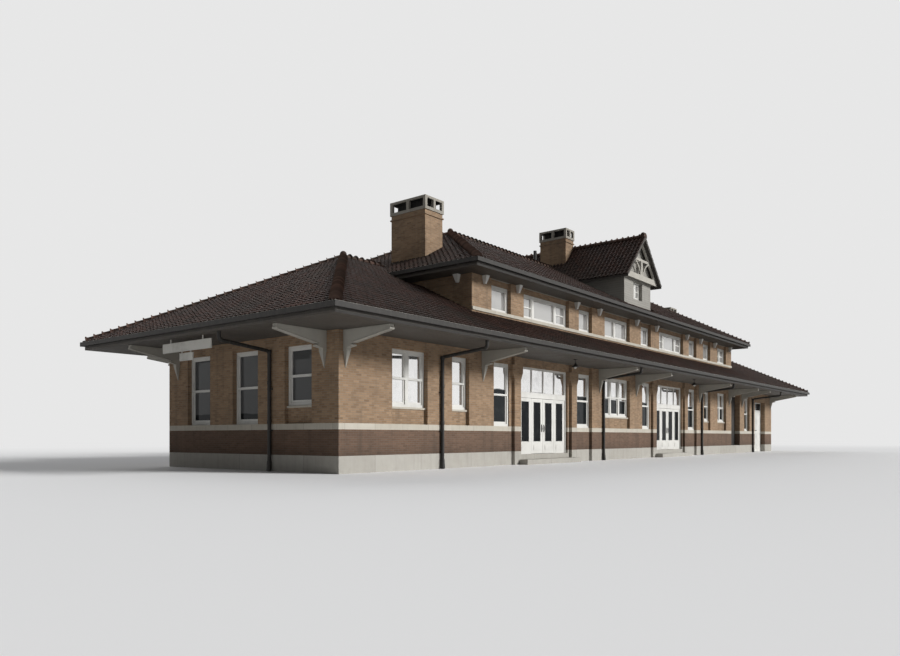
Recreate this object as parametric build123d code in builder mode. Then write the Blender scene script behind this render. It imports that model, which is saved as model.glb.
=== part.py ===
# Railway station building, a scale model at half size, in millimetres.
# The origin is on the ground at the centre of the walls' footprint. +X runs along the front
# wall to the right, +Y runs from the front to the rear and +Z is up.
import os

from build123d import *

# Body of the building
length = 21950.0
width = 4330.0
wall = 210.0
bay_recess = 60.0
panel_recess = 60.0

# Levels above the ground
floor_top = 192.0
base_top = 254.0
belt_bottom = 634.0
belt_top = 724.0
sill_bottom = 962.0
head = 1890.0
ceiling = 2045.0
floor_plate = 60.0

# Lower roof
eave = 1075.0
gutter_width = 60.0
gutter_depth = 70.0
gutter_sheet = 8.0
eave_top = 2180.0
lower_pitch = 0.505
roof_thickness = 70.0
fascia = 40.0
soffit_thickness = 30.0

# Upper storey
upper_wall = 180.0
band_bottom = 2750.0
band_height = 58.0
band_out = 22.0
upper_window_height = 482.0
upper_window_above = 100.0
upper_eave = 468.0
upper_eave_rise = 132.0
upper_pitch = 0.532

# Cross gable
gable_half_wall = 770.0
gable_half_roof = 997.0
gable_ridge = 5429.0
gable_pitch = 1.05
gable_overhang = 200.0
gable_wall = 110.0
gable_roof_thickness = 70.0
gable_sill = 3905.0
gable_window_half = 260.0
gable_window_head = 4340.0
truss_thickness = 40.0
truss_board = 80.0
truss_setback = 90.0
truss_foot = 4365.0
truss_tie = 135.0
truss_collar = 4830.0
truss_collar_height = 60.0
truss_post = 45.0
truss_brace = 38.0
truss_spread = 930.0
lookout_place = 715.0
lookout_size = 60.0

# Openings of the front wall
bay_width = 3820.0
pier_spacing = 1990.0
pier_width = 220.0
capital_out = 70.0
capital_bottom = 1612.0
capital_top = 1752.0
entry_width = 1840.0
service_head = 1757.0
bay_window_width = 590.0

# How each window divides into lights, by their shares of its width
single = [1.0]
double = [1.0, 1.0]
triple = [1.0, 1.0, 1.0]
wide_triple = [1.0, 2.1, 1.0]

# Places along the front wall from its left corner, in thousandths of the length
upper_span = (144.191, 787.699)
gable_place = 458.998
vent_place = 412.073
bay_places = [261.731, 558.178]
baggage_span = (788.61, 828.929)
service_span = (905.011, 962.187)
sill_window_spans = [(50.797, 89.294, double), (118.679, 140.774, single), (376.538, 438.269, triple),
                     (672.893, 698.405, single), (727.79, 764.692, double)]
tall_window_spans = [(851.253, 878.36, single)]
upper_window_spans = [(171.435, 200.364, single), (220.638, 301.367, wide_triple), (320.957, 348.656, single),
                      (376.765, 437.585, double), (467.38, 495.399, single), (520.137, 597.267, wide_triple),
                      (616.811, 644.374, single), (669.294, 697.677, single), (726.97, 764.647, double)]
bracket_places = [5.923, 159.453, 365.376, 454.67, 655.581, 778.132, 839.18, 992.711]
block_places = [160.592, 210.478, 314.579, 362.642, 453.759, 509.339, 607.062, 656.948,
                712.301, 778.132]
pipe_places = [105.011, 371.982, 661.959, 891.116]

# Places along the ends from the front corner, in thousandths of the width
end_sill_window_spans = [(130.947, 271.363, single)]
end_tall_window_spans = [(419.63, 570.901, single), (714.55, 867.436, single)]
end_bracket_places = [66.975, 933.025]
end_block_places = [69.284, 930.716]
end_pipe_places = [345.497]

# Window and door joinery
reveal = 80.0
frame_width = 45.0
frame_depth = 60.0
rail_height = 36.0
rail_depth = 28.0
mullion_width = 70.0
glass_thickness = 6.0
sill_height = 30.0
sill_out = 18.0
leaf_thickness = 26.0
leaf_reveal = 120.0
door_frame_reveal = 105.0
door_frame_width = 40.0
door_frame_depth = 60.0
transom_mullion = 24.0
door_gap = 5.0
meeting_gap = 8.0
hinge_radius = 8.0
hinge_height = 70.0
hinge_plate = 4.0
hinge_plate_width = 40.0
hinge_seat = 0.3
hinge_inset = 130.0
transom_bottom = 1294.0
transom_height = 110.0
leaf_stile = 74.0
leaf_top_rail = 62.0
leaf_glass_bottom = 428.0
entry_leaves = 4
leaf_glass_recess = 9.0
service_transom_bottom = 1445.0
service_reveal = 150.0
service_frame_depth = 50.0
baggage_reveal = 165.0

# Entry steps
step_height = 97.0
step_out = 185.0
step_beyond = 60.0

# Brackets under the soffits
bracket_thickness = 84.0
bracket_reach = 893.0
bracket_nose = 62.0
bracket_heel = (130.0, 1846.0)
bracket_scroll = (176.0, 1832.0, 1808.0)
bracket_neck = 1790.0
bracket_pendant = 72.0
bracket_plate = 1744.0
pendant_point = 0.12
bracket_tip = 1516.0
block_width = 110.0
block_out = 95.0
block_height = 144.0

# Rainwater pipes
pipe_radius = 28.0
pipe_out = 34.0
pipe_elbow = 1840.0
pipe_bend = 60.0
pipe_start = 930.0

# Chimneys
chimney_course = 20.0
chimney_course_height = 24.0
chimney_neck = 75.0
chimney_slab = 57.0
chimney_opening = 158.0
chimney_lid = 44.0
chimney_pier = 60.0
chimney_wall = 90.0
# Each chimney's centre in thousandths of the length and width, its size and its top
left_chimney = (168.907, 398.152, 519.0, 858.0, 5084.0)
centre_chimney = (447.973, 493.187, 406.0, 755.0, 5901.0)
right_chimney = (837.016, 637.875, 519.0, 858.0, 5084.0)
vent_radius = 42.0
vent_behind = 150.0
vent_top = 5280.0

# Fittings
lamp_out = 620.0
lamp_drop = 150.0
lamp_radius = 82.0
lamp_rod = 7.0
sign_length = 1300.0
sign_centre = 300.0
sign_height = 145.0
sign_thickness = 20.0
sign_out = 830.0
sign_hanger = 12.0
sign_hanger_drop = 60.0
small_sign_length = 350.0
small_sign_height = 118.0
small_sign_gap = 28.0
finial_radius = 62.0
corner_joint = 0.5



def set_out(spans, whole):
    # Windows given by shares of a wall, as their two edges along it and their lights
    return [(a * whole / 1000, b * whole / 1000, lights) for a, b, lights in spans]


def share_out(places, whole):
    return [place * whole / 1000 for place in places]


band_top = band_bottom + band_height
upper_head = band_top + upper_window_height
upper_ceiling_level = upper_head + upper_window_above
upper_eave_top = upper_ceiling_level + upper_eave_rise
half_length = length / 2
half_width = width / 2
eave_edge = eave - gutter_width
upper_eave_edge = upper_eave - gutter_width
upper_left, upper_right = share_out(upper_span, length)
upper_x = (upper_left - half_length, upper_right - half_length)
gable_centre, vent_along = share_out((gable_place, vent_place), length)
gable_x = gable_centre - half_length
bay_centres = share_out(bay_places, length)
baggage = share_out(baggage_span, length)
service = share_out(service_span, length)
sill_windows = set_out(sill_window_spans, length)
tall_windows = set_out(tall_window_spans, length)
upper_windows = set_out(upper_window_spans, length)
end_sill_windows = set_out(end_sill_window_spans, width)
end_tall_windows = set_out(end_tall_window_spans, width)

bays = [(c - bay_width / 2, c + bay_width / 2) for c in bay_centres]
pier_gaps = [(c - pier_spacing / 2, c + pier_spacing / 2) for c in bay_centres]
entries = [(c - entry_width / 2, c + entry_width / 2) for c in bay_centres]
leaf_width = (entry_width - 2 * door_frame_width) / entry_leaves

front = Plane((-half_length, -half_width, 0), x_dir=(1, 0, 0), z_dir=(0, -1, 0))
right_end = Plane((half_length, -half_width, 0), x_dir=(0, 1, 0), z_dir=(1, 0, 0))


def block(x, y, z, mode=Mode.ADD):
    # A box between two values on each axis
    with Locations(((x[0] + x[1]) / 2, (y[0] + y[1]) / 2, (z[0] + z[1]) / 2)):
        Box(x[1] - x[0], y[1] - y[0], z[1] - z[0], mode=mode)


def slab(side, span, levels, depth, mode=Mode.ADD):
    # A box on one side of the building: its span along the wall, its levels, and its depth
    # behind the wall's outer face, which is negative outside the wall
    with BuildSketch(side.offset(-depth[0])) as outline:
        with Locations(((span[0] + span[1]) / 2, (levels[0] + levels[1]) / 2)):
            Rectangle(span[1] - span[0], levels[1] - levels[0])
    extrude(outline.sketch, amount=depth[0] - depth[1], mode=mode)


def save(piece, name):
    piece.part.label = name
    export_step(piece.part, "parts/" + name + ".step")


def recesses():
    # The stretches of the front face that stand back, between the piers of the two bays
    spans = []
    for (a, b), (p, q) in zip(bays, pier_gaps):
        spans += [(a, p - pier_width), (p, q), (q + pier_width, b)]
    return spans


def front_course(levels, doors):
    # One course of the front wall: full length, set back in the bays and open at the doors
    slab(front, (0, length), levels, (0, wall))
    for span in recesses():
        slab(front, span, levels, (0, bay_recess), Mode.SUBTRACT)
    for span in doors:
        slab(front, span, levels, (0, wall), Mode.SUBTRACT)


def end_course(levels):
    # One course of the right end wall, between the front and the rear walls
    slab(right_end, (wall + corner_joint, width - wall - corner_joint), levels, (0, wall))


def course(levels, doors, name):
    # One course all round, as runs that don't touch at the corners
    with BuildPart() as run:
        front_course(levels, doors)
        mirror(about=Plane.XZ)
        end_course(levels)
        slab(right_end, (wall + corner_joint, width - wall - corner_joint), levels,
             (length - wall, length))
    save(run, name)


# Masonry below the windows
doorways = entries + [baggage, service]
course((0, base_top), entries + [service], "concrete_base")
course((base_top, belt_bottom), doorways, "brick_wainscot")
course((belt_bottom, belt_top), doorways, "belt_course")

# Ground floor, out to the wall's face in the doorways, and a step before each entry
with BuildPart() as ground_floor:
    slab(front, (wall, length - wall), (0, floor_top), (wall, width - wall))
    for span in entries:
        slab(front, span, (0, floor_top), (bay_recess, wall))
        slab(front, span, (0, floor_top), (width - wall, width - bay_recess))
save(ground_floor, "ground_floor")
with BuildPart() as entry_steps:
    for a, b in pier_gaps:
        slab(front, (a, b), (0, step_height), (0, bay_recess))
        slab(front, (a - step_beyond, b + step_beyond), (0, step_height), (-step_out, 0))
    mirror(about=Plane.XZ)
save(entry_steps, "entry_steps")


def bay_windows():
    # The tall windows against the outer edges of the bays
    spans = []
    for a, b in bays:
        spans += [(a, a + bay_window_width, single), (b - bay_window_width, b, single)]
    return spans


def cut_windows(side, low, tall, bottom, sill, top, deep):
    # Panels set back in a wall's face, and the windows cut through them
    for a, b, lights in low + tall:
        slab(side, (a, b), (bottom, top), (0, panel_recess), Mode.SUBTRACT)
    for a, b, lights in low:
        slab(side, (a, b), (sill, top), (0, deep), Mode.SUBTRACT)
    for a, b, lights in tall:
        slab(side, (a, b), (bottom, top), (0, deep), Mode.SUBTRACT)


# Ground floor walls from the belt course to the window heads, and the wall head above
with BuildPart() as front_wall:
    front_course((belt_top, head), doorways)
    for a, b in pier_gaps:
        for inner, outer in ((a, a - pier_width), (b, b + pier_width)):
            middle = (inner + outer) / 2
            with BuildSketch(front) as capital:
                with BuildLine():
                    Polyline((middle - pier_width / 2, capital_bottom),
                             (middle + pier_width / 2, capital_bottom),
                             (middle + pier_width / 2 + capital_out, capital_top),
                             (middle + pier_width / 2 + capital_out, head),
                             (middle - pier_width / 2 - capital_out, head),
                             (middle - pier_width / 2 - capital_out, capital_top), close=True)
                make_face()
            extrude(capital.sketch, amount=-bay_recess)
    cut_windows(front, sill_windows, tall_windows, belt_top, sill_bottom, head, wall)
    for a, b, lights in bay_windows():
        slab(front, (a, b), (belt_top, head), (bay_recess, wall), Mode.SUBTRACT)
save(front_wall, "front_wall")
with BuildPart() as rear_wall:
    add(mirror(front_wall.part, about=Plane.XZ, mode=Mode.PRIVATE))
save(rear_wall, "rear_wall")
with BuildPart() as wall_head:
    slab(front, (0, length), (head, ceiling), (0, wall))
    for span in recesses():
        slab(front, span, (head, ceiling), (0, bay_recess), Mode.SUBTRACT)
    slab(front, service, (service_head, head), (0, wall))
    mirror(about=Plane.XZ)
save(wall_head, "wall_head")
with BuildPart() as right_end_wall:
    end_course((belt_top, ceiling))
    cut_windows(right_end, end_sill_windows, end_tall_windows, belt_top, sill_bottom, head, wall)
save(right_end_wall, "right_end_wall")
with BuildPart() as left_end_wall:
    add(mirror(right_end_wall.part, about=Plane.YZ, mode=Mode.PRIVATE))
save(left_end_wall, "left_end_wall")


def hip(x, half, edge, top, pitch, bottom):
    # A hipped block: its eave edge stands around the given box, and it rises at one pitch
    # from the top of that edge
    rise = pitch * (half + edge)
    ends = (x[0] - edge, x[1] + edge)
    with BuildPart() as body:
        with BuildSketch(Plane.YZ.offset(ends[0])) as section:
            with BuildLine():
                Polyline((-half - edge, bottom), (half + edge, bottom), (half + edge, top),
                         (0, top + rise), (-half - edge, top), close=True)
            make_face()
        extrude(section.sketch, amount=ends[1] - ends[0])
        with BuildSketch(Plane.XZ.offset(half + edge)) as outline:
            with BuildLine():
                Polyline((ends[0], bottom), (ends[1], bottom), (ends[1], top),
                         (ends[1] - half - edge, top + rise),
                         (ends[0] + half + edge, top + rise), (ends[0], top), close=True)
            make_face()
        extrude(outline.sketch, amount=-2 * (half + edge), mode=Mode.INTERSECT)
    return body.part


def hip_shell(x, half, edge, top, pitch, bottom, thickness):
    # The hipped block hollowed out, with a fascia board left around its edge
    inner_top = top + pitch * fascia - thickness
    with BuildPart() as shell:
        add(hip(x, half, edge, top, pitch, bottom))
        add(hip(x, half, edge - fascia, inner_top, pitch, bottom), mode=Mode.SUBTRACT)
    return shell.part


def border(x, half, edge, levels):
    # Four boards around a box, out to the eave edge, that don't touch at the corners
    for side in (-1, 1):
        block((x[0] - edge, x[1] + edge), sorted((side * half, side * (half + edge))), levels)
    inside = half - corner_joint
    block((x[0] - edge, x[0]), (-inside, inside), levels)
    block((x[1], x[1] + edge), (-inside, inside), levels)


# Upper floor on the walls, and the flat soffit outside them
body_x = (-half_length, half_length)
soffit_top = ceiling + soffit_thickness
upper_floor_top = ceiling + floor_plate
with BuildPart() as upper_floor:
    block(body_x, (-half_width, half_width), (ceiling, upper_floor_top))
save(upper_floor, "upper_floor")
with BuildPart() as lower_soffit:
    border(body_x, half_width, eave_edge, (ceiling, soffit_top))
save(lower_soffit, "lower_soffit")

# Lower roof in four parts around the upper storey, its ridge running on to the upper roof
roof_reach = half_width + eave
sky = gable_ridge + length
upper_hip = hip(upper_x, half_width, upper_eave_edge, upper_eave_top, upper_pitch,
                upper_ceiling_level)
lower_hip = hip(body_x, half_width, eave_edge, eave_top, lower_pitch, soffit_top)
lower_shell = hip_shell(body_x, half_width, eave_edge, eave_top, lower_pitch, soffit_top,
                        roof_thickness)


def lower_roof_end(wall_x, beyond):
    # The hipped end on one side of the upper storey, cut to the upper walls and roof
    with BuildPart() as end:
        add(lower_shell)
        block(sorted((wall_x, beyond)), (-roof_reach, roof_reach), (0, upper_ceiling_level),
              Mode.SUBTRACT)
        block(body_x, (-half_width, half_width), (0, upper_floor_top), Mode.SUBTRACT)
        with BuildPart(mode=Mode.PRIVATE) as storey:
            add(upper_hip)
            block(sorted((wall_x, beyond)), (-roof_reach, roof_reach), (0, sky), Mode.INTERSECT)
        add(storey.part, mode=Mode.SUBTRACT)
        block(sorted((storey_middle, beyond)), (-roof_reach, roof_reach), (0, sky),
              Mode.SUBTRACT)
    return end.part


storey_middle = (upper_x[0] + upper_x[1]) / 2
with BuildPart() as lower_roof_left:
    add(lower_roof_end(upper_x[0], length))
save(lower_roof_left, "lower_roof_left")
with BuildPart() as lower_roof_right:
    add(lower_roof_end(upper_x[1], -length))
save(lower_roof_right, "lower_roof_right")
with BuildPart() as lower_roof_front:
    add(lower_shell)
    block(upper_x, (-roof_reach, -half_width), (soffit_top, sky), Mode.INTERSECT)
save(lower_roof_front, "lower_roof_front")
with BuildPart() as lower_roof_rear:
    add(mirror(lower_roof_front.part, about=Plane.XZ, mode=Mode.PRIVATE))
save(lower_roof_rear, "lower_roof_rear")

# Upper walls with their windows, the light band at their foot and the soffit over them
upper_storey = (upper_floor_top, upper_ceiling_level)
with BuildPart() as upper_front_wall:
    slab(front, (upper_left, upper_right), upper_storey, (0, upper_wall))
    for a, b, lights in upper_windows:
        slab(front, (a, b), (band_top, upper_ceiling_level), (0, panel_recess), Mode.SUBTRACT)
        slab(front, (a, b), (band_top, upper_head), (0, upper_wall), Mode.SUBTRACT)
save(upper_front_wall, "upper_front_wall")
with BuildPart() as upper_rear_wall:
    add(mirror(upper_front_wall.part, about=Plane.XZ, mode=Mode.PRIVATE))
save(upper_rear_wall, "upper_rear_wall")
with BuildPart() as upper_end_walls:
    for x in ((upper_x[0], upper_x[0] + upper_wall), (upper_x[1] - upper_wall, upper_x[1])):
        block(x, (-half_width + upper_wall + corner_joint, half_width - upper_wall - corner_joint),
              upper_storey)
save(upper_end_walls, "upper_end_walls")
with BuildPart() as upper_sill_band:
    slab(front, (upper_left, upper_right), (band_bottom, band_top), (-band_out, 0))
    mirror(about=Plane.XZ)
save(upper_sill_band, "upper_sill_band")
with BuildPart() as upper_ceiling:
    block(upper_x, (-half_width, half_width),
          (upper_ceiling_level, upper_ceiling_level + soffit_thickness))
save(upper_ceiling, "upper_ceiling")
lower_ends = []
for x in ((-length, upper_x[0]), (upper_x[1], length)):
    with BuildPart(mode=Mode.PRIVATE) as lower_end:
        add(lower_hip)
        block(x, (-roof_reach, roof_reach), (0, sky), Mode.INTERSECT)
    lower_ends.append(lower_end.part)
with BuildPart() as upper_soffit:
    border(upper_x, half_width, upper_eave_edge,
           (upper_ceiling_level, upper_ceiling_level + soffit_thickness))
    add(lower_ends, mode=Mode.SUBTRACT)
save(upper_soffit, "upper_soffit")
with BuildPart() as upper_roof:
    add(hip_shell(upper_x, half_width, upper_eave_edge, upper_eave_top, upper_pitch,
                  upper_ceiling_level + soffit_thickness, roof_thickness))
    add(lower_ends, mode=Mode.SUBTRACT)
save(upper_roof, "upper_roof")


# Cross gable through the upper roof, the same at the front and the rear
def gable_band(top, thickness, half):
    # The section of a gabled roof about its ridge
    with BuildSketch(Plane.XZ) as section:
        with BuildLine():
            Polyline((gable_x - half, top - gable_pitch * half), (gable_x, top),
                     (gable_x + half, top - gable_pitch * half),
                     (gable_x + half, top - gable_pitch * half - thickness),
                     (gable_x, top - thickness),
                     (gable_x - half, top - gable_pitch * half - thickness), close=True)
        make_face()
    return section.sketch


def gable_house(half, foot):
    # The section of the gable's walls under its roof
    top = gable_ridge - gable_roof_thickness
    with BuildSketch(Plane.XZ) as section:
        with BuildLine():
            Polyline((gable_x - half, foot), (gable_x + half, foot),
                     (gable_x + half, top - gable_pitch * half), (gable_x, top),
                     (gable_x - half, top - gable_pitch * half), close=True)
        make_face()
    return section.sketch


with BuildPart() as cross_gable_roof:
    extrude(gable_band(gable_ridge, gable_roof_thickness, gable_half_roof),
            amount=half_width + gable_overhang, both=True)
    add(upper_hip, mode=Mode.SUBTRACT)
save(cross_gable_roof, "cross_gable_roof")
with BuildPart() as gable_walls:
    extrude(gable_house(gable_half_wall, upper_eave_top), amount=half_width, both=True)
    extrude(gable_house(gable_half_wall - gable_wall, upper_eave_top),
            amount=half_width - gable_wall, both=True, mode=Mode.SUBTRACT)
    add(upper_hip, mode=Mode.SUBTRACT)
    slab(front, (gable_centre - gable_window_half, gable_centre + gable_window_half),
         (gable_sill, gable_window_head), (0, width), Mode.SUBTRACT)
save(gable_walls, "gable_walls")


# The framed boards under each end of the gable's roof, with a pointed opening on each side of
# a post and a three-cornered one above the collar
def upright(left, right, levels):
    with Locations(((left + right) / 2, sum(levels) / 2)):
        Rectangle(right - left, levels[1] - levels[0])


def lancet(side, near, far, crown):
    foot = truss_foot + truss_tie
    middle, bulge = (near + far) / 2, (far - near) / 10
    with BuildSketch(Plane.XZ) as section:
        with BuildLine():
            Line((gable_x + side * near, foot), (gable_x + side * far, foot))
            ThreePointArc((gable_x + side * far, foot),
                          (gable_x + side * ((far + middle) / 2 + bulge), (foot + crown) / 2),
                          (gable_x + side * middle, crown))
            ThreePointArc((gable_x + side * middle, crown),
                          (gable_x + side * ((near + middle) / 2 - bulge), (foot + crown) / 2),
                          (gable_x + side * near, foot))
        make_face()
    return section.sketch


def truss_frame():
    boards_top = gable_ridge - gable_roof_thickness - truss_board
    tie_top = truss_foot + truss_tie
    open_half = (boards_top - tie_top) / gable_pitch
    collar_levels = (truss_collar, truss_collar + truss_collar_height)
    with BuildSketch(Plane.XZ) as section:
        add(gable_house(truss_spread, truss_foot))
        with BuildLine():
            Polyline((gable_x - open_half, tie_top), (gable_x + open_half, tie_top),
                     (gable_x, boards_top), close=True)
        make_face(mode=Mode.SUBTRACT)
        upright(gable_x - truss_post, gable_x + truss_post, (tie_top, truss_collar))
        upright(*[gable_x + side * (boards_top - truss_collar) / gable_pitch for side in (-1, 1)],
                collar_levels)
        for side in (-1, 1):
            add(lancet(side, truss_post, open_half, truss_collar + truss_brace / 2))
            add(lancet(side, truss_post + truss_brace, open_half - truss_brace,
                       truss_collar - truss_brace / 2), mode=Mode.SUBTRACT)
    return section.sketch


with BuildPart() as gable_trusses:
    truss_front = half_width + gable_overhang - truss_setback
    extrude(truss_frame(), amount=truss_front, both=True)
    truss_rear = truss_front - truss_thickness
    block((gable_x - truss_spread, gable_x + truss_spread), (-truss_rear, truss_rear),
          (0, gable_ridge), Mode.SUBTRACT)
    for side in (-1, 1):
        for end in (-1, 1):
            x = gable_x + side * lookout_place
            block((x - lookout_size / 2, x + lookout_size / 2),
                  sorted((end * half_width, end * truss_rear)),
                  (truss_foot, truss_foot + lookout_size))
save(gable_trusses, "gable_trusses")


# Gutters along the eaves, open at the top
def gutter(x, half, top):
    levels = (top - gutter_depth, top)
    border(x, half, gutter_width, levels)
    with BuildPart(mode=Mode.PRIVATE) as trough:
        border((x[0] - gutter_sheet, x[1] + gutter_sheet), half + gutter_sheet,
               gutter_width - 2 * gutter_sheet, (levels[0] + gutter_sheet, top))
    add(trough.part, mode=Mode.SUBTRACT)


with BuildPart() as lower_gutter:
    gutter((-half_length - eave_edge, half_length + eave_edge), half_width + eave_edge, eave_top)
save(lower_gutter, "lower_gutter")
with BuildPart() as upper_gutter:
    gutter((upper_x[0] - upper_eave_edge, upper_x[1] + upper_eave_edge),
           half_width + upper_eave_edge, upper_eave_top)
    add(lower_ends, mode=Mode.SUBTRACT)
save(upper_gutter, "upper_gutter")

# Chimneys, their shafts cut to the roofs below, and their openwork caps
with BuildPart(mode=Mode.PRIVATE) as gable_block:
    extrude(gable_house(gable_half_roof, upper_ceiling_level), amount=half_width, both=True)
    extrude(gable_band(gable_ridge, gable_roof_thickness, gable_half_roof), amount=half_width,
            both=True)
cap_height = chimney_slab + chimney_opening + chimney_lid
chimneys = []
for place_x, place_y, across, back, chimney_top in (left_chimney, centre_chimney, right_chimney):
    (along,), (behind,) = share_out([place_x], length), share_out([place_y], width)
    x, y = along - half_length, behind - half_width
    chimneys.append(((x - across / 2, x + across / 2), (y - back / 2, y + back / 2), chimney_top))
with BuildPart() as chimney_shafts:
    for x, y, top in chimneys:
        shoulder = top - cap_height
        block(x, y, (eave_top, shoulder))
        course_top = shoulder - chimney_neck
        block((x[0] - chimney_course, x[1] + chimney_course),
              (y[0] - chimney_course, y[1] + chimney_course),
              (course_top - chimney_course_height, course_top))
    add(upper_hip, mode=Mode.SUBTRACT)
    add(gable_block.part, mode=Mode.SUBTRACT)
    block(upper_x, (-half_width, half_width), (0, upper_ceiling_level), Mode.SUBTRACT)
    add(lower_ends, mode=Mode.SUBTRACT)
save(chimney_shafts, "chimney_shafts")
with BuildPart() as chimney_caps:
    for inner_x, inner_y, top in chimneys:
        x = (inner_x[0] - chimney_course, inner_x[1] + chimney_course)
        y = (inner_y[0] - chimney_course, inner_y[1] + chimney_course)
        slab_top = top - chimney_lid - chimney_opening
        block(x, y, (top - cap_height, slab_top))
        for x_post in (x[0], (x[0] + x[1] - chimney_pier) / 2, x[1] - chimney_pier):
            for y_post in (y[0], (y[0] + y[1] - chimney_pier) / 2, y[1] - chimney_pier):
                block((x_post, x_post + chimney_pier), (y_post, y_post + chimney_pier),
                      (slab_top, top - chimney_lid))
        block((inner_x[0] + chimney_wall, inner_x[1] - chimney_wall),
              (inner_y[0] + chimney_wall, inner_y[1] - chimney_wall),
              (slab_top, top - chimney_lid))
        block(x, y, (top - chimney_lid, top))
save(chimney_caps, "chimney_caps")
with BuildPart() as roof_vent:
    with Locations((vent_along - half_length, vent_behind, eave_top)):
        Cylinder(vent_radius, vent_top - eave_top, align=(Align.CENTER, Align.CENTER, Align.MIN))
    add(upper_hip, mode=Mode.SUBTRACT)
    add(gable_block.part, mode=Mode.SUBTRACT)
    block(upper_x, (-half_width, half_width), (0, upper_ceiling_level), Mode.SUBTRACT)
save(roof_vent, "roof_vent")

# Brackets that stand square to the walls under the lower soffit
outward = Plane((bracket_thickness / 2, 0, 0), x_dir=(0, -1, 0), z_dir=(-1, 0, 0))
with BuildPart() as bracket:
    with BuildSketch(outward) as arm:
        scroll_reach, scroll_top, scroll_foot = bracket_scroll
        with BuildLine():
            Polyline((0, ceiling), (bracket_reach, ceiling), (bracket_reach, ceiling - bracket_nose),
                     bracket_heel, (scroll_reach, scroll_top), (scroll_reach, scroll_foot),
                     (bracket_pendant, bracket_neck), (bracket_pendant, bracket_plate),
                     (0, bracket_plate), close=True)
        make_face()
    extrude(arm.sketch, amount=bracket_thickness)
    with BuildSketch(Plane.XY.offset(bracket_plate)) as pendant_top:
        with Locations((0, -bracket_pendant / 2)):
            Rectangle(bracket_pendant, bracket_pendant)
    with BuildSketch(Plane.XY.offset(bracket_tip)) as pendant_tip:
        with Locations((0, -bracket_pendant * pendant_point / 2)):
            Rectangle(bracket_pendant * pendant_point, bracket_pendant * pendant_point)
    loft([pendant_top.sketch, pendant_tip.sketch])


def along_front(places):
    return [Location((place - half_length, -half_width, 0)) for place in places]


def along_right_end(places, x=half_length):
    return [Location((x, place - half_width, 0), (0, 0, 90)) for place in places]


def along_left_end(places, x=-half_length):
    return [Location((x, place - half_width, 0), (0, 0, -90)) for place in places]


with BuildPart() as lower_brackets:
    with Locations(along_front(share_out(bracket_places, length))):
        add(bracket.part)
    mirror(about=Plane.XZ)
    with Locations(along_right_end(share_out(end_bracket_places, width))):
        add(bracket.part)
    with Locations(along_left_end(share_out(end_bracket_places, width))):
        add(bracket.part)
save(lower_brackets, "lower_brackets")

# Small pendant blocks under the upper soffit
with BuildPart() as pendant:
    with BuildSketch(Plane.XY.offset(upper_ceiling_level)) as pendant_top:
        with Locations((0, -block_out / 2)):
            Rectangle(block_width, block_out)
    with BuildSketch(Plane.XY.offset(upper_ceiling_level - block_height)) as pendant_tip:
        with Locations((0, -block_out / 4)):
            Rectangle(block_width / 3, block_out / 2)
    loft([pendant_top.sketch, pendant_tip.sketch])
with BuildPart() as upper_blocks:
    with Locations(along_front(share_out(block_places, length))):
        add(pendant.part)
    mirror(about=Plane.XZ)
    end_blocks = share_out(end_block_places, width)
    with Locations(along_right_end(end_blocks, upper_x[1])
                   + along_left_end(end_blocks, upper_x[0])):
        add(pendant.part)
save(upper_blocks, "upper_blocks")


# Windows: frames with a meeting rail, and one sheet of glass behind the bars of each
def lights_of(a, b, shares):
    # The clear spans between a frame's jambs and mullions
    clear = b - a - 2 * frame_width - (len(shares) - 1) * mullion_width
    spans = []
    start = a + frame_width
    for share in shares:
        end = start + clear * share / sum(shares)
        spans.append((start, end))
        start = end + mullion_width
    return spans


def window_frame(side, a, b, levels, shares, railed):
    slab(side, (a, b), levels, (reveal, reveal + frame_depth))
    clear = (levels[0] + frame_width, levels[1] - frame_width)
    middle = (levels[0] + levels[1]) / 2
    for span in lights_of(a, b, shares):
        slab(side, span, clear, (reveal, reveal + frame_depth), Mode.SUBTRACT)
        if railed:
            slab(side, span, (middle - rail_height / 2, middle + rail_height / 2),
                 (reveal, reveal + rail_depth))


def window_glass(side, a, b, levels, shares):
    back = reveal + rail_depth
    for span in lights_of(a, b, shares):
        slab(side, span, (levels[0] + frame_width, levels[1] - frame_width),
             (back, back + glass_thickness))


sill_top = sill_bottom + sill_height
low_levels = (sill_top, head)
tall_levels = (belt_top, head)
upper_levels = (band_top, upper_head)
gable_levels = (gable_sill, gable_window_head)
front_windows = ([(a, b, low_levels, lights) for a, b, lights in sill_windows]
                 + [(a, b, tall_levels, lights) for a, b, lights in tall_windows]
                 + [(a, b, tall_levels, lights) for a, b, lights in bay_windows()])
end_windows = ([(a, b, low_levels, lights) for a, b, lights in end_sill_windows]
               + [(a, b, tall_levels, lights) for a, b, lights in end_tall_windows])
gable_window = (gable_centre - gable_window_half, gable_centre + gable_window_half)

with BuildPart() as front_window_frames:
    for a, b, levels, lights in front_windows:
        window_frame(front, a, b, levels, lights, True)
save(front_window_frames, "front_window_frames")
with BuildPart() as rear_window_frames:
    add(mirror(front_window_frames.part, about=Plane.XZ, mode=Mode.PRIVATE))
save(rear_window_frames, "rear_window_frames")
with BuildPart() as end_window_frames:
    for a, b, levels, lights in end_windows:
        window_frame(right_end, a, b, levels, lights, True)
    mirror(about=Plane.YZ)
save(end_window_frames, "end_window_frames")
with BuildPart() as upper_window_frames:
    for a, b, lights in upper_windows:
        window_frame(front, a, b, upper_levels, lights, False)
    window_frame(front, *gable_window, gable_levels, double, False)
    mirror(about=Plane.XZ)
save(upper_window_frames, "upper_window_frames")
with BuildPart() as end_sills:
    for a, b, lights in end_sill_windows:
        slab(right_end, (a, b), (sill_bottom, sill_top), (panel_recess - sill_out,
                                                          reveal + frame_depth))
    mirror(about=Plane.YZ)
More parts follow.
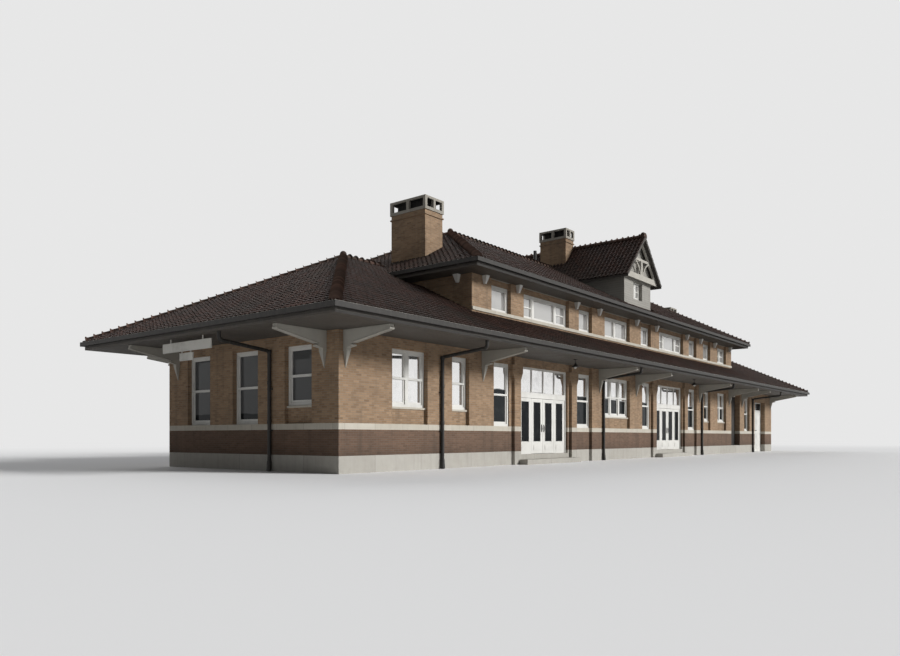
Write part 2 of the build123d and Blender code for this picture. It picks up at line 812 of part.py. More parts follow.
with BuildPart() as end_glass:
    for a, b, levels, lights in end_windows:
        window_glass(right_end, a, b, levels, lights)
    mirror(about=Plane.YZ)
with BuildPart() as window_sills:
    for a, b, lights in sill_windows:
        slab(front, (a, b), (sill_bottom, sill_top), (panel_recess - sill_out,
                                                      reveal + frame_depth))
    mirror(about=Plane.XZ)
    add(end_sills.part)
save(window_sills, "window_sills")
with BuildPart() as ground_window_glass:
    for a, b, levels, lights in front_windows:
        window_glass(front, a, b, levels, lights)
    mirror(about=Plane.XZ)
    add(end_glass.part)
save(ground_window_glass, "ground_window_glass")
with BuildPart() as upper_window_glass:
    for a, b, lights in upper_windows:
        window_glass(front, a, b, upper_levels, lights)
    window_glass(front, *gable_window, gable_levels, double)
    mirror(about=Plane.XZ)
save(upper_window_glass, "upper_window_glass")


# Doors
def hinges(edge, hand, face, side, levels):
    # Barrels and plates on a leaf's hinged edge. hand is 1 where the leaf runs to the right of
    # that edge, and side is 1 where the barrels stand behind the leaf and -1 in front of it.
    axis = edge - hand * door_gap / 2
    depth = face + side * (hinge_seat + hinge_radius)
    plate = sorted((face, face + side * (hinge_seat + hinge_plate)))
    for level in (levels[0] + hinge_inset, (levels[0] + levels[1]) / 2, levels[1] - hinge_inset):
        with Locations((axis - half_length, depth - half_width, level)):
            Cylinder(hinge_radius, hinge_height)
        slab(front, sorted((axis, edge + hand * hinge_plate_width)),
             (level - hinge_height / 2, level + hinge_height / 2), plate)


def leaf(span, levels):
    # A door leaf: stiles and rails around a tall glazed panel over a solid one
    slab(front, span, levels, (leaf_reveal, leaf_reveal + leaf_thickness))
    for face in ((leaf_reveal, leaf_reveal + leaf_glass_recess),
                 (leaf_reveal + leaf_thickness - leaf_glass_recess,
                  leaf_reveal + leaf_thickness)):
        slab(front, (span[0] + leaf_stile, span[1] - leaf_stile),
             (leaf_glass_bottom, levels[1] - leaf_top_rail), face, Mode.SUBTRACT)


leaf_top = transom_bottom - door_gap
inner_entries = [(a + door_frame_width, b - door_frame_width) for a, b in entries]
entry_lights = [(p + i * leaf_width + transom_mullion / 2,
                 p + (i + 1) * leaf_width - transom_mullion / 2)
                for p, q in inner_entries for i in range(entry_leaves)]
entry_light_levels = (transom_bottom + transom_height, head - door_frame_width)
with BuildPart() as entry_frames:
    depth = (door_frame_reveal, door_frame_reveal + door_frame_depth)
    for (a, b), (p, q) in zip(entries, inner_entries):
        slab(front, (a, b), (floor_top, head), depth)
        slab(front, (p, q), (floor_top, transom_bottom), depth, Mode.SUBTRACT)
    for light in entry_lights:
        slab(front, light, entry_light_levels, depth, Mode.SUBTRACT)
    mirror(about=Plane.XZ)
save(entry_frames, "entry_frames")
with BuildPart() as transom_glass:
    for light in entry_lights:
        slab(front, light, entry_light_levels, (leaf_reveal, leaf_reveal + glass_thickness))
    mirror(about=Plane.XZ)
save(transom_glass, "transom_glass")
with BuildPart() as entry_sidelights:
    for p, q in inner_entries:
        leaf((p, p + leaf_width), (floor_top, transom_bottom))
        leaf((q - leaf_width, q), (floor_top, transom_bottom))
    mirror(about=Plane.XZ)
save(entry_sidelights, "entry_sidelights")
moving_leaves = []
for entry_name, (p, q) in zip(("left_entry", "right_entry"), inner_entries):
    middle = (p + q) / 2
    for hand, span in (("left", (p + leaf_width + door_gap, middle - meeting_gap / 2)),
                       ("right", (middle + meeting_gap / 2, q - leaf_width - door_gap))):
        with BuildPart() as door_leaf:
            leaf(span, (floor_top + door_gap, leaf_top))
            if hand == "left":
                hinges(span[0], 1, leaf_reveal + leaf_thickness, 1, (floor_top, leaf_top))
            else:
                hinges(span[1], -1, leaf_reveal + leaf_thickness, 1, (floor_top, leaf_top))
        save(door_leaf, entry_name + "_" + hand + "_leaf")
        moving_leaves.append(door_leaf.part)
with BuildPart() as rear_entry_leaves:
    for moving in moving_leaves:
        add(mirror(moving, about=Plane.XZ, mode=Mode.PRIVATE))
save(rear_entry_leaves, "rear_entry_leaves")


def flush_doors(span, levels, count):
    # Leaves side by side that fill a doorway between its posts
    each = (span[1] - span[0]) / count
    for i in range(count):
        joint = corner_joint if i else 0
        slab(front, (span[0] + i * each + joint, span[0] + (i + 1) * each), levels,
             (baggage_reveal, baggage_reveal + leaf_thickness))


# Dark baggage doors deep in their opening, which stay shut
with BuildPart() as baggage_doors:
    flush_doors(baggage, (base_top, head), 2)
    mirror(about=Plane.XZ)
save(baggage_doors, "baggage_doors")

# Service doors at the ground, hung on the front of their posts so that they open outwards
service_opening = (service[0] + door_frame_width, service[1] - door_frame_width)
service_middle = (service_opening[0] + service_opening[1]) / 2
service_levels = (door_gap, service_transom_bottom - door_gap)
with BuildPart() as service_frame:
    depth = (service_reveal, service_reveal + service_frame_depth)
    slab(front, service, (0, service_head), depth)
    slab(front, service_opening, (0, service_transom_bottom), depth, Mode.SUBTRACT)
    mirror(about=Plane.XZ)
save(service_frame, "service_frame")
service_leaves = []
for hand, span in (("left", (service_opening[0] + door_gap, service_middle - meeting_gap / 2)),
                   ("right", (service_middle + meeting_gap / 2, service_opening[1] - door_gap))):
    with BuildPart() as service_leaf:
        slab(front, span, service_levels, (service_reveal, service_reveal + leaf_thickness))
        if hand == "left":
            hinges(span[0], 1, service_reveal, -1, service_levels)
        else:
            hinges(span[1], -1, service_reveal, -1, service_levels)
    save(service_leaf, "service_" + hand + "_leaf")
    service_leaves.append(service_leaf.part)
with BuildPart() as rear_service_leaves:
    for moving in service_leaves:
        add(mirror(moving, about=Plane.XZ, mode=Mode.PRIVATE))
save(rear_service_leaves, "rear_service_leaves")

# Rainwater pipes from the lower gutter back to the walls and down to the ground
with BuildPart() as pipe:
    with BuildLine(Plane((0, 0, 0), x_dir=(0, -1, 0), z_dir=(-1, 0, 0))) as route:
        FilletPolyline((pipe_start, ceiling), (pipe_start, ceiling - 2 * pipe_bend),
                       (pipe_out, pipe_elbow), (pipe_out, 0), radius=pipe_bend)
    with BuildSketch(Plane.XY.offset(ceiling)) as bore:
        with Locations((0, -pipe_start)):
            Circle(pipe_radius)
    sweep(bore.sketch, path=route.line)
with BuildPart() as rainwater_pipes:
    with Locations(along_front(share_out(pipe_places, length))):
        add(pipe.part)
    mirror(about=Plane.XZ)
    end_pipes = share_out(end_pipe_places, width)
    with Locations(along_right_end(end_pipes) + along_left_end(end_pipes)):
        add(pipe.part)
save(rainwater_pipes, "rainwater_pipes")

# Pendant lamps before the entries and a bare board under the left soffit
with BuildPart() as pendant_lamps:
    for centre in bay_centres:
        with BuildSketch(Plane.XZ.offset(half_width + lamp_out)) as lamp_section:
            with BuildLine():
                Polyline((0, ceiling), (lamp_rod, ceiling), (lamp_rod, ceiling - lamp_drop / 2),
                         (lamp_radius, ceiling - lamp_drop), (0, ceiling - lamp_drop),
                         close=True)
            make_face()
        with BuildPart(mode=Mode.PRIVATE) as lamp:
            revolve(lamp_section.sketch, axis=Axis((0, -half_width - lamp_out, 0), (0, 0, 1)))
        with Locations((centre - half_length, 0, 0)):
            add(lamp.part)
    mirror(about=Plane.XZ)
save(pendant_lamps, "pendant_lamps")
with BuildPart() as sign_board:
    x = (-half_length - sign_out - sign_thickness, -half_length - sign_out)
    top = ceiling - sign_hanger_drop
    block(x, (sign_centre - sign_length / 2, sign_centre + sign_length / 2),
          (top - sign_height, top))
    for side in (-1, 1):
        y = sign_centre + side * sign_length / 3
        block(x, (y - sign_hanger / 2, y + sign_hanger / 2), (top, ceiling))
        y = sign_centre + side * small_sign_length / 3
        block(x, (y - sign_hanger / 2, y + sign_hanger / 2),
              (top - sign_height - small_sign_gap, top - sign_height))
    block(x, (sign_centre - small_sign_length / 2, sign_centre + small_sign_length / 2),
          (top - sign_height - small_sign_gap - small_sign_height,
           top - sign_height - small_sign_gap))
save(sign_board, "sign_board")

# Finials on the ends of the ridges
lower_ridge_top = eave_top + lower_pitch * (half_width + eave_edge)
upper_ridge_top = upper_eave_top + upper_pitch * (half_width + upper_eave_edge)
finial_places = [(side * (half_length - half_width), 0, lower_ridge_top) for side in (-1, 1)]
finial_places += [(upper_x[0] + half_width, 0, upper_ridge_top),
                  (upper_x[1] - half_width, 0, upper_ridge_top)]
finial_places += [(gable_x, side * (half_width + gable_overhang - finial_radius), gable_ridge)
                  for side in (-1, 1)]
with BuildPart() as roof_finials:
    for place in finial_places:
        with Locations(place):
            Cylinder(finial_radius, 2 * finial_radius)
        with Locations((place[0], place[1], place[2] + finial_radius)):
            Sphere(finial_radius)
    add(lower_hip, mode=Mode.SUBTRACT)
    add(upper_hip, mode=Mode.SUBTRACT)
    with BuildPart(mode=Mode.PRIVATE) as gable_prism:
        extrude(gable_house(gable_half_roof, upper_ceiling_level),
                amount=half_width + gable_overhang, both=True)
        extrude(gable_band(gable_ridge, gable_roof_thickness, gable_half_roof),
                amount=half_width + gable_overhang, both=True)
    add(gable_prism.part, mode=Mode.SUBTRACT)
save(roof_finials, "roof_finials")
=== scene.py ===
import math

import bpy
import numpy as np
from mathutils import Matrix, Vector


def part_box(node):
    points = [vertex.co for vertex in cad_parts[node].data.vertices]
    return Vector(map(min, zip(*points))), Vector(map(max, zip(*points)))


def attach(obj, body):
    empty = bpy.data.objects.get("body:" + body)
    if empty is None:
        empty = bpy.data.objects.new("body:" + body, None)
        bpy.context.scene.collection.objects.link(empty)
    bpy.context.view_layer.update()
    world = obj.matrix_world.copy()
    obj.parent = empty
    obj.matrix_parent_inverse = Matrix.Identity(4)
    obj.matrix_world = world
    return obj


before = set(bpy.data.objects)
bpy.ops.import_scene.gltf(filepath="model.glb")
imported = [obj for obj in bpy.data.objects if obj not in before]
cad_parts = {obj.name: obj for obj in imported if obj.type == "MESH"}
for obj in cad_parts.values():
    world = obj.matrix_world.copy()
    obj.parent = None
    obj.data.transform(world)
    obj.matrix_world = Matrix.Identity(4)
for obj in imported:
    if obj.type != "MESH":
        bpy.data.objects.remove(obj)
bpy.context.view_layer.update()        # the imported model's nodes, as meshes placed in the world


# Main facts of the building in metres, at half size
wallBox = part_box("concrete_base")
halfLength, halfWidth = wallBox[1][0], wallBox[1][1]
building = {
    "lowerEave": 1.015,           # from the wall to the fascia
    "lowerTop": 2.180,            # top of the roof plane at the fascia
    "lowerPitch": 0.505,
    "upperEave": 0.408,
    "upperTop": 3.522,
    "upperPitch": 0.532,
    "upperLeft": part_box("upper_sill_band")[0][0],
    "upperRight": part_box("upper_sill_band")[1][0],
    "ceiling": 2.045,
    "gableRidge": 5.429,
    "gablePitch": 1.05,
    "gableHalf": 0.997,
    "gableReach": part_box("cross_gable_roof")[1][1],
    "gableX": (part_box("cross_gable_roof")[0][0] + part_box("cross_gable_roof")[1][0]) / 2,
}
root = "building"


class Pile:
    # Collects grids and loose faces, then makes one mesh of them with foreach_set
    def __init__(self):
        self.points, self.quads, self.tris, self.marks, self.count = [], [], [], [], 0

    def add(self, points, quads=None, tris=None, mark=0.0):
        points = np.asarray(points, dtype=float).reshape(-1, 3)
        self.points.append(points)
        self.marks.append(np.broadcast_to(np.asarray(mark, dtype=float), (len(points),)))
        if quads is not None and len(quads):
            self.quads.append(np.asarray(quads, dtype=np.int64) + self.count)
        if tris is not None and len(tris):
            self.tris.append(np.asarray(tris, dtype=np.int64) + self.count)
        self.count += len(points)

    def build(self, name, material, body=root, smooth=False, sharp=None):
        points = np.concatenate(self.points)
        quads = np.concatenate(self.quads) if self.quads else np.zeros((0, 4), dtype=np.int64)
        tris = np.concatenate(self.tris) if self.tris else np.zeros((0, 3), dtype=np.int64)
        mesh = bpy.data.meshes.new(name)
        mesh.vertices.add(len(points))
        mesh.vertices.foreach_set("co", points.ravel().astype(np.float32))
        loops = np.concatenate([quads.ravel(), tris.ravel()]).astype(np.int32)
        mesh.loops.add(len(loops))
        mesh.loops.foreach_set("vertex_index", loops)
        starts = np.concatenate([np.arange(len(quads)) * 4, len(quads) * 4 + np.arange(len(tris)) * 3])
        mesh.polygons.add(len(starts))
        mesh.polygons.foreach_set("loop_start", starts.astype(np.int32))
        mesh.update(calc_edges=True)
        mesh.validate()
        mesh.polygons.foreach_set("use_smooth", np.full(len(mesh.polygons), smooth))
        marks = np.concatenate(self.marks).astype(np.float32)
        if len(mesh.vertices) == len(marks):
            mesh.attributes.new("mark", "FLOAT", "POINT").data.foreach_set("value", marks)
        if sharp is not None:      # the angle beyond which a smooth piece's edges stay sharp
            mesh.set_sharp_from_angle(angle=math.radians(sharp))
        mesh.materials.append(material)
        piece = bpy.data.objects.new(name, mesh)
        bpy.context.scene.collection.objects.link(piece)
        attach(piece, body)
        return piece


def gridQuads(rows, columns, closed=False, many=1):
    # Quads of one or many equal grids whose points run along each row first. A closed row's last point
    # joins its first.
    r, c = np.meshgrid(np.arange(rows - 1), np.arange(columns if closed else columns - 1), indexing="ij")
    here, below, right = r * columns, (r + 1) * columns, (c + 1) % columns
    quads = np.stack([here + c, here + right, below + right, below + c], -1).reshape(-1, 4)
    return (quads + np.arange(many)[:, None, None] * rows * columns).reshape(-1, 4)


def boxInto(pile, x, y, z):
    # A closed box between two values on each axis, faces outwards
    x, y, z = sorted(x), sorted(y), sorted(z)
    p = [(x[i], y[j], z[k]) for k in (0, 1) for j in (0, 1) for i in (0, 1)]
    q = [(0, 2, 3, 1), (4, 5, 7, 6), (0, 1, 5, 4), (2, 6, 7, 3), (0, 4, 6, 2), (1, 3, 7, 5)]
    pile.add(p, q)


class Side:
    # One side of the building: s runs along the wall to the right as seen from outside,
    # z is up and depth is behind the wall's face
    def __init__(self, corner, along, outward):
        self.corner, self.along, self.outward = np.array(corner), np.array(along), np.array(outward)

    def box(self, pile, s, z, depth):
        ends = [self.corner + self.along * s[i] - self.outward * depth[i] for i in (0, 1)]
        boxInto(pile, (ends[0][0], ends[1][0]), (ends[0][1], ends[1][1]), z)


front = Side((-halfLength, -halfWidth, 0), (1, 0, 0), (0, -1, 0))
rear = Side((-halfLength, halfWidth, 0), (1, 0, 0), (0, 1, 0))
rightEnd = Side((halfLength, -halfWidth, 0), (0, 1, 0), (1, 0, 0))
leftEnd = Side((-halfLength, -halfWidth, 0), (0, 1, 0), (-1, 0, 0))


# Materials
class Wire:
    # A socket whose sums are written as plain arithmetic; each adds one Math node
    def __init__(self, paint, socket):
        self.paint, self.socket = paint, socket

    def __add__(self, other): return self.paint.sum("ADD", self, other)
    def __radd__(self, other): return self.paint.sum("ADD", other, self)
    def __sub__(self, other): return self.paint.sum("SUBTRACT", self, other)
    def __rsub__(self, other): return self.paint.sum("SUBTRACT", other, self)
    def __mul__(self, other): return self.paint.sum("MULTIPLY", self, other)
    def __rmul__(self, other): return self.paint.sum("MULTIPLY", other, self)
    def __truediv__(self, other): return self.paint.sum("DIVIDE", self, other)
    def __rtruediv__(self, other): return self.paint.sum("DIVIDE", other, self)
    def __mod__(self, other): return self.paint.sum("FLOORED_MODULO", self, other)
    def __rmod__(self, other): return self.paint.sum("FLOORED_MODULO", other, self)
    def __gt__(self, other): return self.paint.sum("GREATER_THAN", self, other)

    def floor(self): return self.paint.sum("FLOOR", self)
    def size(self): return self.paint.sum("ABSOLUTE", self)
    def least(self, other): return self.paint.sum("MINIMUM", self, other)
    def most(self, other): return self.paint.sum("MAXIMUM", self, other)
    def root(self): return self.paint.sum("SQRT", self)


class Nodes:
    # The nodes of a material or world: `put` adds any node, `sum` a Math node, `blend` mixes two colours
    def __init__(self, owner):
        owner.use_nodes = True
        self.tree = owner.node_tree
        self.tree.nodes.clear()

    def set(self, node, key, value):
        socket = node.inputs[key]
        if isinstance(value, Wire):
            self.tree.links.new(value.socket, socket)
        elif isinstance(value, tuple) and len(value) == 3 and socket.type == "RGBA":
            socket.default_value = (*value, 1.0)
        else:
            socket.default_value = value

    def put(self, kind, settings, inputs, output=0):
        node = self.tree.nodes.new(kind)
        for key, value in settings.items():
            setattr(node, key, value)
        for key, value in inputs.items():
            self.set(node, key, value)
        return node if output is None else Wire(self, node.outputs[output])

    def sum(self, operation, *values):
        return self.put("ShaderNodeMath", {"operation": operation}, dict(enumerate(values)))

    def blend(self, factor, first, second):
        return self.put("ShaderNodeMix", {"data_type": "RGBA", "clamp_factor": True},
                        {0: factor, 6: first, 7: second}, 2)

    def lightPath(self, kind):
        return self.put("ShaderNodeLightPath", {}, {}, f"Is {kind} Ray")


class Paint(Nodes):
    # One material and the patterns that its colours are mixed from
    def __init__(self, name, specular):
        self.material = bpy.data.materials.new(name)
        super().__init__(self.material)
        self.output = self.tree.nodes.new("ShaderNodeOutputMaterial")
        self.shader = self.tree.nodes.new("ShaderNodeBsdfPrincipled")
        self.body = Wire(self, self.shader.outputs[0])
        self.set(self.output, "Surface", self.body)
        self.set(self.shader, "Specular IOR Level", specular)
        self.place = self.put("ShaderNodeTexCoord", {}, {}, "Object")
        split = self.put("ShaderNodeSeparateXYZ", {}, {0: self.place}, None)
        self.x, self.y, self.z = (Wire(self, split.outputs[i]) for i in range(3))

    def between(self, value, low, high, toLow=0.0, toHigh=1.0):
        # Smooth step of a value from low to high
        return self.put("ShaderNodeMapRange", {"interpolation_type": "SMOOTHSTEP"},
                        {0: value, 1: low, 2: high, 3: toLow, 4: toHigh})

    def vector(self, x, y, z):
        return self.put("ShaderNodeCombineXYZ", {}, {0: x, 1: y, 2: z})

    def stretched(self, across, up):
        # Object coordinates with one scale for x and y and another for z, for runs, streaks and brush marks
        return self.vector(self.x * across, self.y * across, self.z * up)

    def noise(self, scale, detail=3.0, rough=0.55, where=None):
        return self.put("ShaderNodeTexNoise", {}, {"Vector": where or self.place, "Scale": scale,
                                                   "Detail": detail, "Roughness": rough}, 0)

    def chance(self, *parts):
        # A number from 0 to 1 for each cell of whole numbers
        where = self.vector(*(list(parts) + [0.0] * (3 - len(parts))))
        return self.put("ShaderNodeTexWhiteNoise", {"noise_dimensions": "3D"}, {"Vector": where}, 0)

    def mark(self):
        return self.put("ShaderNodeAttribute", {"attribute_name": "mark"}, {}, "Fac")

    def finish(self, colour, roughness, height=None, distance=0.001, strength=1.0):
        self.set(self.shader, "Base Color", colour)
        self.set(self.shader, "Roughness", roughness)
        if height is not None:
            relief = {"Strength": strength, "Distance": distance, "Height": height}
            self.set(self.shader, "Normal", self.put("ShaderNodeBump", {}, relief))
        return self.material


def shade(colour, share):
    return tuple(part * share for part in colour)


def jointAway(cells, length):
    # The distance to the nearest joint of a row of cells, half a cell less the distance to its middle
    return ((cells - cells.floor() - 0.5).size() * -1.0 + 0.5) * length


brick = {
    "length": 0.1066, "course": 0.0336,      # with its joint, at half size
    "joint": 0.0050,
    "raked": 0.0022,                         # how deep the joint lies
    "ragged": 0.0022,                        # how far its edge strays
    "soilTop": 0.60, "soilFull": 0.24,       # where splashed soil ends and where it is full
}


def makeBrick(name, dark, light, mortar, grime, groundSoil):
    # Stretcher bond: x + y runs round every corner, because one of them is constant on each wall.
    # Each brick takes its own shade from a random number of its course and column.
    paint = Paint(name, specular=0.10)
    up = paint.z / brick["course"]
    course = up.floor()
    shifted = (paint.x + paint.y) / brick["length"] + (course % 2.0) * 0.5
    column = shifted.floor()
    gap = jointAway(shifted, brick["length"]).least(jointAway(up, brick["course"]))
    gap = gap + (paint.noise(160.0, 2.0) - 0.5) * brick["ragged"]
    face = paint.between(gap, brick["joint"] * 0.38, brick["joint"] * 0.72)
    tint = paint.chance(column, course, 0.0)
    oddOne = paint.chance(column, course, 7.0) > 0.93
    body = paint.blend(tint, dark, light)
    body = paint.blend(oddOne * 0.30, body, shade(dark, 0.55))
    body = paint.blend(paint.noise(420.0, 2.0) * 0.34, body, shade(dark, 0.5))
    colour = paint.blend(face, mortar, body)
    cloud = paint.between(paint.noise(1.1, 4.0, 0.62), 0.38, 0.72)
    streak = paint.between(paint.noise(1.0, 3.0, 0.6, paint.stretched(9.0, 0.7)), 0.46, 0.72)
    colour = paint.blend(cloud * 0.30 + streak * 0.26, colour, grime)
    soil = paint.between(paint.z + paint.noise(3.0) * 0.25, brick["soilTop"], brick["soilFull"])
    colour = paint.blend(soil * groundSoil, colour, shade(grime, 0.6))
    height = face * (0.72 + tint * 0.28) + paint.noise(260.0, 3.0) * 0.22
    return paint.finish(colour, 0.78 + (1.0 - face) * 0.12, height, brick["raked"], 0.9)


stoneJoint = (0.0042, 0.0016)      # from the joint's middle: where its dark edge begins, and where it is full


def makeStone(name, light, dark, courseLength, jointTone, roughness=0.72):
    # Cut stone in long blocks: a fine joint every courseLength along the wall, faint bedding and pits
    paint = Paint(name, specular=0.15)
    along = (paint.x + paint.y) / courseLength
    joint = paint.between(jointAway(along, courseLength), *stoneJoint)
    block = paint.chance(along.floor(), 3.0)
    colour = paint.blend(paint.noise(6.0, 5.0, 0.65) * 0.75 + block * 0.35, light, dark)
    rain = paint.noise(1.0, 4.0, 0.6, paint.stretched(16.0, 1.2))
    colour = paint.blend(paint.between(rain, 0.48, 0.75) * 0.16, colour, shade(dark, 0.42))
    colour = paint.blend(joint * 0.8, colour, jointTone)
    pits = paint.between(paint.noise(150.0, 2.0), 0.62, 0.75)
    height = paint.noise(60.0, 5.0, 0.7) * 0.4 - joint * 1.2 - pits * 0.4
    return paint.finish(colour, roughness + pits * 0.1, height, 0.0014, 0.7)


paintwork = {
    "brush": 60.0, "longBrush": 14.0,        # brush marks a metre, and how much longer than wide they are
    "dust": (0.20, 0.19, 0.17),
    "joint": (0.0040, 0.0008),               # a V joint's lip and foot, from its middle
    "jointDepth": 2.2,                       # against the brush marks' relief
    "edge": (0.022, 0.020, 0.018),
}


def makePainted(name, colour, longBrush=paintwork["longBrush"], boards=None, boardAxis="x", roughness=0.5,
                wear=0.25, edge=None):
    # Brushed paint on wood: long soft brush marks, dust in patches, and where boards is given a V joint
    # every so many metres across boardAxis. Beyond edge, a distance from the middle in y, it is dark.
    paint = Paint(name, specular=0.20)
    brush = paint.noise(1.0, 3.0, 0.55, paint.stretched(paintwork["brush"], paintwork["brush"] / longBrush))
    patch = paint.between(paint.noise(2.6, 5.0, 0.65), 0.42, 0.75)
    speck = paint.between(paint.noise(70.0, 3.0), 0.60, 0.72)
    mixed = paint.blend(patch * wear + speck * wear * 0.5, colour, paintwork["dust"])
    mixed = paint.blend(brush * 0.16, mixed, shade(colour, 0.72))
    height = brush * 0.35
    if boards:
        across = {"x": paint.x, "y": paint.y, "z": paint.z}[boardAxis] / boards
        groove = paint.between(jointAway(across, boards), *paintwork["joint"])
        mixed = paint.blend(groove * 0.65, mixed, shade(colour, 0.25))
        mixed = paint.blend(paint.chance(across.floor(), 5.0) * 0.22, mixed, shade(colour, 0.66))
        height = height - groove * paintwork["jointDepth"]
    if edge is not None:
        outer = paint.between(paint.y.size(), edge - 0.0015, edge - 0.0005)
        mixed = paint.blend(outer, mixed, paintwork["edge"])
    return paint.finish(mixed, roughness + patch * 0.18, height, 0.0012, 0.6)


def makeMetal(name, colour, dust, roughness=0.45):
    # Painted or weathered sheet: dull patches, fine runs and a slight waviness
    paint = Paint(name, specular=0.22)
    run = paint.noise(1.0, 4.0, 0.6, paint.stretched(30.0, 3.0))
    patch = paint.noise(7.0, 4.0, 0.6)
    mixed = paint.blend(paint.between(run + patch * 0.5, 0.62, 1.0) * 0.4, colour, dust)
    height = paint.noise(14.0, 2.0) * 0.8 + paint.noise(180.0, 2.0) * 0.1
    return paint.finish(mixed, roughness + patch * 0.22, height, 0.0008, 0.5)


def makeTile(name, dark, light, moss):
    # Clay tiles: each one's shade comes from its own mark, with moss, sooty specks and pale lichen over it
    paint = Paint(name, specular=0.12)
    body = paint.blend(paint.mark(), dark, light)
    for scale, detail, rough, low, high, share, tone in (
            (0.9, 5.0, 0.6, 0.40, 0.70, 0.50, moss),
            (55.0, 4.0, 0.7, 0.55, 0.78, 0.45, shade(dark, 0.35)),
            (24.0, 3.0, 0.7, 0.66, 0.74, 0.35, shade(light, 1.9))):
        body = paint.blend(paint.between(paint.noise(scale, detail, rough), low, high) * share, body, tone)
    return paint.finish(body, 0.55 + paint.noise(30.0) * 0.25, paint.noise(120.0, 4.0) * 0.5, 0.0010, 0.6)


pane = {
    "dust": (0.12, 0.125, 0.125), "dusty": 0.12,
    "sky": (0.78, 0.775, 0.765),                       # the sky tone painted on a pane as its reflection
    "skylineWave": 0.10, "skylineSoft": 0.012,         # the lower edge of the painted reflection
    "nearEnd": 3.375, "nearDrop": 0.50,                # so near the left end, the painted reflection's edge is this much lower
    "endWall": 0.305, "endShare": 0.10,                # panes nearer the ends than this get little painted reflection
    "blur": 0.05,
}


def makeGlass(name, tint, mirrorFrom=None, mirror=0.0, sky=pane["sky"], sheen=0.25):
    # Old window glass before dark rooms, dusty in patches; its dark base colour is painted shade for the
    # unlit rooms behind. On the long walls a painted sky reflection, the sky tone in a metallic base colour,
    # covers the panes above the height mirrorFrom, as old panes mirror the sky when seen at a slant.
    paint = Paint(name, specular=sheen)
    dust = paint.between(paint.noise(4.0, 4.0, 0.65), 0.45, 0.8)
    mixed = paint.blend(dust * pane["dusty"], tint, pane["dust"])
    if mirrorFrom is not None:
        # The painted sky reflection: from the height mirrorFrom up, its wavy lower edge lower near the left
        # end, and faint on panes near the ends
        drop = pane["nearEnd"] - halfLength
        end = halfLength - pane["endWall"]
        soft, blur = pane["skylineSoft"], pane["blur"]
        level = paint.z + (paint.noise(1.6, 2.0) - 0.5) * pane["skylineWave"]
        level = level + paint.between(paint.x, drop + blur, drop - blur, 0.0, pane["nearDrop"])
        paintedReflection = paint.between(level, mirrorFrom - soft, mirrorFrom + soft)
        onLongWall = paint.between(paint.x.size(), end + blur, end - blur, pane["endShare"], 1.0)
        paintedReflection = paintedReflection * onLongWall * (1.0 - dust * pane["dusty"])
        mixed = paint.blend(paintedReflection, mixed, sky)
        paint.set(paint.shader, "Metallic", paintedReflection * mirror)
    return paint.finish(mixed, 0.04 + dust * 0.05, paint.noise(3.0, 1.0), 0.002, 0.03)


buffBrick = makeBrick("buff brick", (0.255, 0.163, 0.097), (0.372, 0.252, 0.156), (0.250, 0.212, 0.166),
                      (0.120, 0.090, 0.066), 0.0)
darkBrick = makeBrick("dark brick", (0.135, 0.084, 0.058), (0.175, 0.110, 0.076), (0.150, 0.124, 0.100),
                      (0.060, 0.047, 0.038), 0.45)
limestone = makeStone("limestone", (0.520, 0.488, 0.422), (0.370, 0.338, 0.278), 0.62, (0.190, 0.170, 0.140))
capStone = makeStone("cap stone", (0.360, 0.338, 0.296), (0.220, 0.202, 0.172), 0.62, (0.100, 0.090, 0.078))
concrete = makeStone("concrete", (0.440, 0.423, 0.385), (0.300, 0.284, 0.250), 1.55, (0.130, 0.120, 0.110),
                     roughness=0.8)
hallFloor = makeStone("hall floor", (0.200, 0.185, 0.165), (0.120, 0.110, 0.100), 0.30, (0.05, 0.05, 0.05),
                      roughness=0.5)
clayTile = makeTile("clay tile", (0.016, 0.0088, 0.0068), (0.040, 0.020, 0.015), (0.018, 0.017, 0.014))
rollTile = makeTile("ridge tile", (0.044, 0.026, 0.020), (0.086, 0.050, 0.038), (0.046, 0.042, 0.033))
gableBoards = makePainted("gable boards", (0.280, 0.268, 0.240), boards=0.055, boardAxis="z", roughness=0.6)
signPaint = makePainted("sign paint", (0.560, 0.545, 0.500), roughness=0.45, wear=0.45)
trimPaint = makePainted("white trim", (0.630, 0.620, 0.585))
lowerSoffit, upperSoffit = [
    makePainted(f"{node} boards", (0.088, 0.078, 0.067), boards=0.045, boardAxis="y", roughness=0.6,
                edge=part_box(node)[1][1])
    for node in ("lower_soffit", "upper_soffit")]
fasciaPaint = makePainted("fascia paint", (0.046, 0.041, 0.036), roughness=0.6)
ceilingPaint = makePainted("ceiling plaster", (0.360, 0.345, 0.310), roughness=0.8)
bracketPaint = makePainted("bracket paint", (0.370, 0.352, 0.310), longBrush=1.0, roughness=0.6)
darkPaint = makePainted("dark paint", (0.030, 0.028, 0.026), roughness=0.45)
gutterMetal = makeMetal("gutter metal", (0.024, 0.022, 0.020), (0.060, 0.054, 0.047))
# The lip's pale tone is a painted highlight along the gutter's edge; the gutter's own metal is dark
lipHighlightMetal = makeMetal("gutter lip", (0.420, 0.400, 0.360), (0.220, 0.205, 0.180))
pipeMetal = makeMetal("pipe metal", (0.024, 0.023, 0.022), (0.080, 0.072, 0.060))
# Each tint is painted shade for the dark rooms behind the glass; the sky tones above the heights given are
# painted reflections
windowGlass = makeGlass("window glass", (0.011, 0.013, 0.014), 1.400, 0.90, sheen=0.08)
upperGlass = makeGlass("upper window glass", (0.030, 0.034, 0.036), 2.000, 0.50, (0.46, 0.455, 0.44))
doorGlass = makeGlass("door glass", (0.008, 0.009, 0.010), sheen=0.03)

